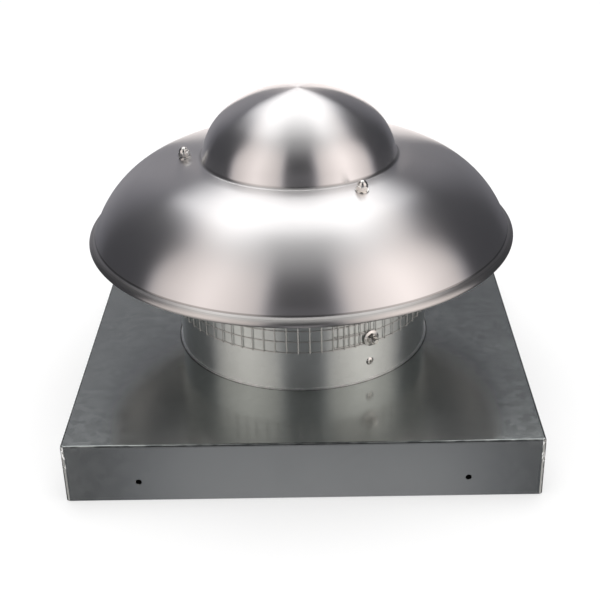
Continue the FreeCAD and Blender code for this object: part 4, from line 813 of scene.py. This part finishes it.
def makeScreen():
    shape, lap = screenShape, lapShape
    tree = screenTree()
    step = math.tau / shape["posts"]
    lapStart = math.radians(lap["start"] - 90)
    common = {"Wire": shape["wire"], "Ring Reach": shape["ringReach"], "Post Reach": shape["postReach"],
              "Pitch": shape["pitch"], "Rings": shape["rings"], "Post Step": step,
              "Material": finishOf("bird_screen")}
    screen = grown("bird screen", tree, {
        **common, "Posts": shape["posts"], "First Angle": legStart + step / 2, "Bottom": shape["bottom"],
        "Top": shape["top"], "Sweep": math.tau})
    lapped = grown("lapped end", tree, {
        **common, "Posts": lap["posts"], "First Angle": lapStart + lap["firstPost"] * step,
        "Arc Start": lapStart, "Sweep": math.radians(lap["end"] - lap["start"]),
        "Arc Points": lap["arcPoints"], "Bottom": shape["bottom"] + lap["up"], "Rings": shape["rings"] - 1,
        "Top": shape["top"] - lap["short"], "Seed": lap["seed"]})
    settle(screen, "bird_screen")
    settle(lapped, "bird_screen")


makeScreen()
print("bird screen")


# fasteners

fastenerShape = {
    "across": 11.1 * mm, "thread": 3.15 * mm, "looseTurn": 1.0, "sides": 72,
    "studReach": 124.0 * mm, "studHeight": 278.37 * mm, "lean": math.radians(10.3), "studLength": 14.4 * mm,
    "studDrop": 5.7 * mm, "hoodWasher": (7.1 * mm, 1.2 * mm),  # rim and height
    "boltHeight": 116.85 * mm, "washerFace": 142.4 * mm, "headFace": 132.67 * mm, "head": 4.2 * mm,
    "boltPast": 8.6 * mm, "rivetReach": 140.0 * mm, "rivetHeight": 87.5 * mm,
}
nutShape = {
    "height": 5.6 * mm, "collar": 1.8 * mm, "collarInset": 0.4 * mm, "collarRound": 0.7 * mm,
    "chamfer": 0.5 * mm, "slope": 2.2, "boreEdge": 0.3 * mm,
}
acornShape = {
    "hexTop": 5.4 * mm, "dome": 5.1 * mm, "bore": 8.0 * mm, "chamfer": 0.9 * mm, "steps": 12, "crease": 24,
}
washerShape = {  # millimetres; dished, with a flared rim and raised round the hole
    "height": 1.6, "profile": [(3.6, 0.6), (8.6, 0.0), (9.0, 0.15), (9.0, 0.45), (8.4, 0.62), (7.2, 1.15),
                               (6.0, 1.5), (5.0, 1.6), (3.6, 1.6)],
}
rivetShape = {  # millimetres; a raised ring that falls to a thin rim round a hollow centre
    "centre": [(0.0, 0.2), (0.8, 0.0), (0.9, -1.0), (1.45, -1.0), (1.5, 0.9)],
    "ring": (1.6, 1.3), "ringRun": 2.9, "ringFall": 1.15, "steps": 8, "segments": 48,
    "back": [(4.5, 0.0), (2.1, 0.0), (2.1, -4.8), (3.0, -5.2), (3.0, -7.2), (2.2, -7.8), (0.0, -7.8)],
}


def collaredNut(across, bore):
    shape = nutShape
    height, chamfer, edge = shape["height"], shape["chamfer"], shape["boreEdge"]
    corner = across / math.sqrt(3)
    inner, flat = corner - chamfer * shape["slope"], height - shape["collar"]
    reach = across / 2 - shape["collarInset"]
    profile = [(bore, 0.0), (inner, 0.0), (corner, chamfer), (corner, flat - chamfer), (inner, flat),
               (reach, flat), (reach, height - shape["collarRound"]), (reach - shape["collarRound"], height),
               (bore + edge, height), (bore, height - edge)]
    return turnedMesh("neck nut", closedRing(profile), fastenerShape["sides"], across=across)


def acornNut(across, bore):
    shape = acornShape
    corner = across / math.sqrt(3)
    hexTop, dome, chamfer = shape["hexTop"], shape["dome"], shape["chamfer"]
    profile = [(0.0, shape["bore"]), (bore, shape["bore"]), (bore, 0.0), (corner - chamfer, 0.0),
               (corner, 0.4 * mm), (corner, hexTop - 0.8 * mm), (corner - chamfer, hexTop - 0.25 * mm),
               (dome + 0.05 * mm, hexTop - 0.1 * mm)]
    for i in range(shape["steps"]):
        angle = math.pi / 2 * i / shape["steps"]
        profile.append((dome * math.cos(angle), hexTop + dome * math.sin(angle)))
    profile.append((0.0, hexTop + dome))
    return turnedMesh("acorn nut", profile, fastenerShape["sides"], across=across, crease=shape["crease"])


def flatWasher(bore, rim, height, rounding=0.3 * mm):
    profile = closedRing([
        (bore, 0.0), (rim - rounding, 0.0), (rim, rounding), (rim, height - rounding),
        (rim - rounding, height), (bore + rounding, height), (bore, height - rounding)])
    return turnedMesh("hood washer", profile, 64)


def dishedWasher():
    return turnedMesh("dished washer", closedRing(inMetres(washerShape["profile"])), fastenerShape["sides"])


def blindRivet():
    shape = rivetShape
    (x, y), steps = shape["ring"], shape["steps"]
    ring = [(x + shape["ringRun"] * i / steps, y - shape["ringFall"] * (i / steps) ** 2)
            for i in range(steps + 1)]
    return turnedMesh("blind rivet", inMetres(shape["centre"] + ring + shape["back"]), shape["segments"])


def headedBolt(name, length):
    # head below the seat at zero, shank up from it
    head, shank = fastenerShape["head"], fastenerShape["thread"]
    corner = fastenerShape["across"] / math.sqrt(3)
    profile = [(0.0, -head), (corner - 1.2 * mm, -head), (corner, -head + 0.5 * mm), (corner, 0.0),
               (shank, 0.0), (shank, length - 0.6 * mm), (shank - 0.6 * mm, length), (0.0, length)]
    return turnedMesh(name, profile, fastenerShape["sides"], across=fastenerShape["across"])


def makeFasteners():
    shape = fastenerShape
    across, thread, headFace = shape["across"], shape["thread"], shape["headFace"]
    rim, washer = shape["hoodWasher"]
    steel = finishOf("acorn_nuts")
    satin = plainMetal("satin plated steel", (0.72, 0.71, 0.68, 1), 0.3, **fineWear)
    loose = {"Loose_Turn": shape["looseTurn"]}
    side = {"Lean": math.pi / 2, "Height": shape["boltHeight"]}
    nutFace = shape["washerFace"] + washerShape["height"] * mm

    def onStud(along):
        return {"Reach": shape["studReach"] + along * math.sin(shape["lean"]),
                "Height": shape["studHeight"] + along * math.cos(shape["lean"]), "Lean": shape["lean"]}

    repeated("hood_washers", flatWasher(thread, rim, washer), steel, **onStud(0.0))
    repeated("acorn_nuts", acornNut(across, thread), steel, **loose, **onStud(washer))
    repeated("hood_studs", headedBolt("hood stud", shape["studLength"]), steel, **onStud(-shape["studDrop"]))
    repeated("neck_washers", dishedWasher(), steel, Reach=shape["washerFace"], **side)
    repeated("neck_nuts", collaredNut(across, thread), satin, Reach=nutFace, Seed=5, **loose, **side)
    repeated("neck_bolts", headedBolt("neck bolt", nutFace + shape["boltPast"] - headFace), steel,
             Reach=headFace, **loose, **side)
    repeated("leg_rivets", blindRivet(), steel, Reach=shape["rivetReach"], Lean=math.pi / 2,
             Height=shape["rivetHeight"])
    refined("hood_seals", "hood seals", finishOf("hood_seals"))


makeFasteners()
print("fasteners")


# cap, neck and sheet metal

def makeHousing():
    refined("curb_cap", "curb cap", capZinc)
    refined("neck", "round neck", neckZinc)
    for node in ("leg_right", "leg_rear", "leg_left", "motor_mount", "terminal_box", "terminal_box_lid"):
        refined(node, node.replace("_", " ") + " sheet", finishOf(node))


makeHousing()

weldShape = {
    "reach": 239.9 * mm, "high": 63.5 * mm, "size": 0.75 * mm, "stray": 0.3 * mm,
    "corners": [(1, -1, 30 * mm, 22), (-1, -1, 40 * mm, 14), (1, 1, 34 * mm, 18), (-1, 1, 28 * mm, 20)],
    "strayShare": (1, 1, 1.5), "least": (0.5, 0.5, 0.7), "most": (1.1, 1.1, 1.9), "sizeSeed": 4.0,
}


def weldTree():
    # small uneven drops along a line
    tree, given = geometryTree("weld drops", {
        "X": 0.0, "Y": 0.0, "Low": 0.0, "High": 0.06, "Drops": 20,
        "Size": 0.001, "Stray": 0.001, "Seed": 1})
    low, drops, seed = given["Low"], given["Drops"], given["Seed"]
    index = grow(tree, "GeometryNodeInputIndex")
    part = sums("DIVIDE", index, minus(drops, 1.0))
    height = plus(low, times(part, minus(given["High"], low)))
    spot = combined(X=given["X"], Y=given["Y"], Z=height)
    most = weldShape["strayShare"]
    stray = grow(tree, "FunctionNodeRandomValue", {
        "Min": tuple(-share for share in most), "Max": most, "Seed": seed}, data_type="FLOAT_VECTOR")
    place = vectors("ADD", spot, vectors("SCALE", stray, given["Stray"]))
    drop = grow(tree, "GeometryNodeMeshIcoSphere", {"Radius": given["Size"], "Subdivisions": 2})
    size = grow(tree, "FunctionNodeRandomValue", {
        "Min": weldShape["least"], "Max": weldShape["most"],
        "Seed": plus(seed, weldShape["sizeSeed"])}, data_type="FLOAT_VECTOR")
    finishTree(tree, given, smoothed(copiesOf(drop, drops, place, Scale=size)))
    return tree


def makeWelds():
    tree, shape = weldTree(), weldShape
    bright = plainMetal("weld metal", (0.72, 0.71, 0.69, 1), 0.3, scale=300.0, depth=0.3 * mm)
    for number, (x, y, low, drops) in enumerate(shape["corners"]):
        weld = grown(f"corner weld {number + 1}", tree, {
            "X": x * shape["reach"], "Y": y * shape["reach"], "Low": low, "High": shape["high"],
            "Drops": drops, "Size": shape["size"], "Stray": shape["stray"], "Seed": number + 2,
            "Material": bright})
        settle(weld, "curb_cap")


makeWelds()
print("cap, neck, welds")


# motor, terminal box and propeller

motorNodes = (
    "motor_lower_bell", "motor_upper_bell", "motor_shell", "stator_core", "stator_windings", "lower_bearing",
    "upper_bearing", "motor_grommets", "motor_lead", "shell_bushing", "box_bushing", "inlet_bushing",
    "box_screws", "motor_through_bolts", "motor_nuts")
rotorNodes = tuple(node for node in nodes if bodyOf[node] == "rotor")
for node in motorNodes + rotorNodes:
    refined(node, node.replace("_", " ") + " piece", finishOf(node))
print("motor and rotor")


# camera, floor and light

shot = {  # millimetres, degrees and pixels, as solved from the photograph
    "aim": (0.0, 0.0, 98.1), "distance": 1361.7, "elevation": 27.6, "azimuth": 0.88, "roll": 1.4,
    "focal": 1176.8, "shift": (-2.73, 1.27), "pixels": 600, "sensor": 36, "near": 0.01, "far": 50,
}


def makeCamera():
    data = bpy.data.cameras.new("camera")
    data.sensor_width = shot["sensor"]
    data.lens = shot["focal"] * shot["sensor"] / shot["pixels"]
    data.shift_x, data.shift_y = (offset / shot["pixels"] for offset in shot["shift"])
    data.clip_start, data.clip_end = shot["near"], shot["far"]
    azimuth, elevation, roll = shot["azimuth"], shot["elevation"], shot["roll"]
    back = Vector((sinOf(azimuth) * cosOf(elevation), -cosOf(azimuth) * cosOf(elevation), sinOf(elevation)))
    right = Vector((cosOf(azimuth), sinOf(azimuth), 0))
    up = back.cross(right)
    rolledRight = right * cosOf(roll) - up * sinOf(roll)
    rolledUp = right * sinOf(roll) + up * cosOf(roll)
    place = (Vector(shot["aim"]) + back * shot["distance"]) * mm
    camera = bpy.data.objects.new("camera", data)
    scene.collection.objects.link(camera)
    camera.matrix_world = Matrix([*zip(rolledRight, rolledUp, back, place), (0, 0, 0, 1)])
    scene.camera = camera


floorLook = {
    "half": 9.0, "opening": 0.225, "level": -0.4 * mm, "roughness": 0.9, "pale": 0.99, "dark": 0.01,
    "glow": 0.45,  # share of plain white that the camera sees in the floor
}


def makeFloor():
    # pale floor; the square under the cap is dark, painted shade for the inside of the cap that the fan
    # stands over
    look = floorLook
    corners = [(-1, -1), (1, -1), (1, 1), (-1, 1)]
    mesh = bpy.data.meshes.new("floor")
    mesh.from_pydata([(x * size, y * size, look["level"]) for size in (look["half"], look["opening"])
                      for x, y in corners], [],
                     [(0, 1, 5, 4), (1, 2, 6, 5), (2, 3, 7, 6), (3, 0, 4, 7), (4, 5, 6, 7)])
    pale, tree, shader = newFinish("pale floor", Base_Color=grey(look["pale"]), Roughness=look["roughness"])
    # painted shade: the dark square where the inside of the cap is
    dark = newFinish("dark opening", Base_Color=grey(look["dark"]), Roughness=look["roughness"])[0]
    seen = other(grow(tree, "ShaderNodeLightPath"), "Is Camera Ray")
    glow = grow(tree, "ShaderNodeEmission", {"Strength": 1.0})
    mixed = grow(tree, "ShaderNodeMixShader", {
        "Fac": times(seen, look["glow"]), 1: shader.outputs["BSDF"], 2: glow})
    give(tree.nodes["Material Output"], Surface=mixed)
    mesh.materials.append(pale)
    mesh.materials.append(dark)
    mesh.polygons[-1].material_index = 1
    floor = linked("floor", mesh)
    floor.visible_glossy = False  # metal sees the lower half of the studio's walls there


studio = {  # what metal sees on the studio's walls, in degrees
    "radius": 4.0, "segments": (48, 24), "fill": 0.92,
    "dark": (8, 22, 0.02, 0.058), "overhead": (42, 88, 0.44),
    "coolTint": (0.98, 0.985, 1.09, 1), "warmTint": (1.07, 0.985, 0.95, 1), "tintFrom": (0.15, 0.7),
    "boxes": [  # share is what is left of a box's level at its sides
        {"azimuth": (20, 93), "softSide": 7, "level": 1.26, "share": 0.5},
        {"azimuth": (-84, -18), "softSide": 4, "level": 1.08, "share": 0.55}],
    "boxElevation": (-14, 60, 16),  # from, to, and the soft ends
    "below": 0.64,
    "ceiling": {"lean": 32, "wide": (-26, 20), "deep": (-26, 15.5), "soft": 4, "level": 1.7,
                "point": (26.5, 31.5), "pointDeep": (8, 29, 2), "above": (50, 65)},
}

# patches of light on the walls. Azimuth runs from the front towards +X, aside is its size, and elevation is
# above the floor. A patch is the product of its masks: a window is 1 between two angles, with soft edges,
# and a ramp, straight or smooth, goes from one level to another between them, or from 0 to 1.
widePatches = [
    [("window", "elevation", 54, 80, 9), ("ramp", "aside", 15, 80, 0.36, 0.86)],  # high, more at the sides
    [("smooth", "elevation", -20, -6, 0.07, 0.0)],  # floor all round
    [("smooth", "elevation", -34, -22, 0.37, 0.0), ("smooth", "aside", 8, 19, 1.0, 0.0)],  # floor in front
    [("smooth", "elevation", 2, 14, 0.34, 0.0), ("ramp", "elevation", -16, -6),
     ("ramp", "aside", 12, 22, 1.0, 0.0)],  # foot of the front wall
]
rearWall = [("window", "elevation", -14, 36, 5), ("ramp", "aside", 156, 168, 1.0, 0.75)]
rearPatches = [
    rearWall + [("ramp", "azimuth", 124, 160, 0.0, 0.19)],
    rearWall + [("ramp", "azimuth", -118, -154, 0.0, 0.28)],
    [("smooth", "past", -1.5, 2.5, 0.0, 1.45), ("window", "elevation", -40, 25, 2)],  # bright middle
]
rearEdge = (6, 27, 166, 180)  # the bright middle starts past 166 degrees, and narrows to a point as it rises


def makeWorld():  # white wherever the camera or metal looks past the walls
    world = bpy.data.worlds.new("studio")
    scene.world = world
    world.use_nodes = True
    tree = world.node_tree
    tree.nodes.clear()
    path = grow(tree, "ShaderNodeLightPath")
    clear = highest(other(path, "Is Camera Ray"),
                    highest(other(path, "Is Glossy Ray"), other(path, "Is Transmission Ray")))
    strength = ranged(clear, 0.0, 1.0, studio["fill"], 1.0)
    background = grow(tree, "ShaderNodeBackground", {"Color": (1, 1, 1, 1), "Strength": strength})
    grow(tree, "ShaderNodeOutputWorld", {"Surface": background})


def wallLight(x, y, height):
    # the brightest patch at each place, and the place's elevation
    degrees = math.degrees(1)
    azimuth = times(sums("ARCTAN2", x, times(y, -1.0)), degrees)
    level = sums("SQRT", plus(sums("POWER", x, 2.0), sums("POWER", y, 2.0)))
    elevation = times(sums("ARCTAN2", height, level), degrees)
    aside = sizeOf(azimuth)
    past = minus(aside, ranged(elevation, *rearEdge))
    along = {"azimuth": azimuth, "elevation": elevation, "aside": aside, "past": past}

    def brighter(light, patch):
        masks = []
        for kind, name, low, high, *levels in patch:
            if kind == "window":
                masks.append(between(along[name], low, high, *levels))
            else:
                masks.append(ranged(along[name], low, high, *levels, smooth=kind == "smooth"))
        return highest(light, times(*masks))

    low, high, overhead = studio["overhead"]
    light = ranged(elevation, low, high, ranged(aside, *studio["dark"]), overhead, smooth=True)
    for patch in widePatches:
        light = brighter(light, patch)
    for box in studio["boxes"]:
        (left, right), (low, high, softEnd), glow = box["azimuth"], studio["boxElevation"], box["level"]
        along["away"] = sizeOf(minus(azimuth, (left + right) / 2))
        light = brighter(light, [
            ("window", "azimuth", left, right, box["softSide"]),
            ("window", "elevation", low, high, softEnd),
            ("ramp", "away", 0.0, (right - left) / 2, glow, glow * box["share"])])
        light = brighter(light, [
            ("window", "azimuth", left, right, 4), ("window", "elevation", -42, low, 6),
            ("ramp", "aside", 18, 24, 0.0, glow * studio["below"])])
    for patch in rearPatches:
        light = brighter(light, patch)
    return light, elevation


def ceilingMask(x, y, height):  # a leaning panel that comes to a point at the back
    ceiling = studio["ceiling"]
    sine, cosine = sinOf(ceiling["lean"]), cosOf(ceiling["lean"])
    upward = plus(times(y, sine), times(height, cosine))
    rearward = minus(times(y, cosine), times(height, sine))
    wide, deep = (times(sums("ARCTAN2", side, upward), math.degrees(1)) for side in (x, rearward))
    soft = ceiling["soft"]
    panel = times(between(wide, *ceiling["wide"], soft), between(deep, *ceiling["deep"], soft))
    slant = plus(sizeOf(wide), deep)
    point = times(ranged(slant, *ceiling["point"], 1.0, 0.0), between(deep, *ceiling["pointDeep"]))
    return highest(panel, point)


def makeWalls():
    # soft boxes, dark cards and ceiling, painted on a big shell that only metal sees
    material = bpy.data.materials.new("studio walls")
    material.use_nodes = True
    tree = material.node_tree
    tree.nodes.clear()
    place = parted(coords(tree))
    light, elevation = wallLight(*place)
    top = ceilingMask(*place)
    warmth = ranged(light, *studio["tintFrom"])
    tint = blended(warmth, studio["coolTint"], studio["warmTint"])
    above = highest(top, ranged(elevation, *studio["ceiling"]["above"]))
    tint = blended(above, tint, grey(1.0))
    light = highest(light, times(top, studio["ceiling"]["level"]))
    glow = grow(tree, "ShaderNodeEmission", {"Color": tint, "Strength": light})
    grow(tree, "ShaderNodeOutputMaterial", {"Surface": glow})
    bm = bmesh.new()
    segments, bands = studio["segments"]
    bmesh.ops.create_uvsphere(bm, u_segments=segments, v_segments=bands, radius=studio["radius"])
    mesh = bpy.data.meshes.new("studio walls")
    bm.to_mesh(mesh)
    bm.free()
    mesh.materials.append(material)
    walls = linked("studio walls", mesh)
    for ray in ("camera", "diffuse", "transmission", "volume_scatter", "shadow"):
        setattr(walls, "visible_" + ray, False)


lampShape = {"place": (0.0, 0.3, 2.6), "aim": (0, 0, 0.2), "size": (2.2, 2.2), "power": 25}


def makeLamp():
    data = bpy.data.lights.new("overhead box", "AREA")
    data.shape = "RECTANGLE"
    data.size, data.size_y = lampShape["size"]
    data.energy = lampShape["power"]
    lamp = bpy.data.objects.new("overhead box", data)
    scene.collection.objects.link(lamp)
    lamp.location = lampShape["place"]
    away = Vector(lampShape["place"]) - Vector(lampShape["aim"])
    lamp.rotation_euler = away.to_track_quat("Z", "Y").to_euler()
    lamp.visible_glossy = False  # metal sees the painted ceiling instead


makeCamera()
makeFloor()
makeWorld()
makeWalls()
makeLamp()
scene.view_settings.view_transform = "Standard"
print("studio")
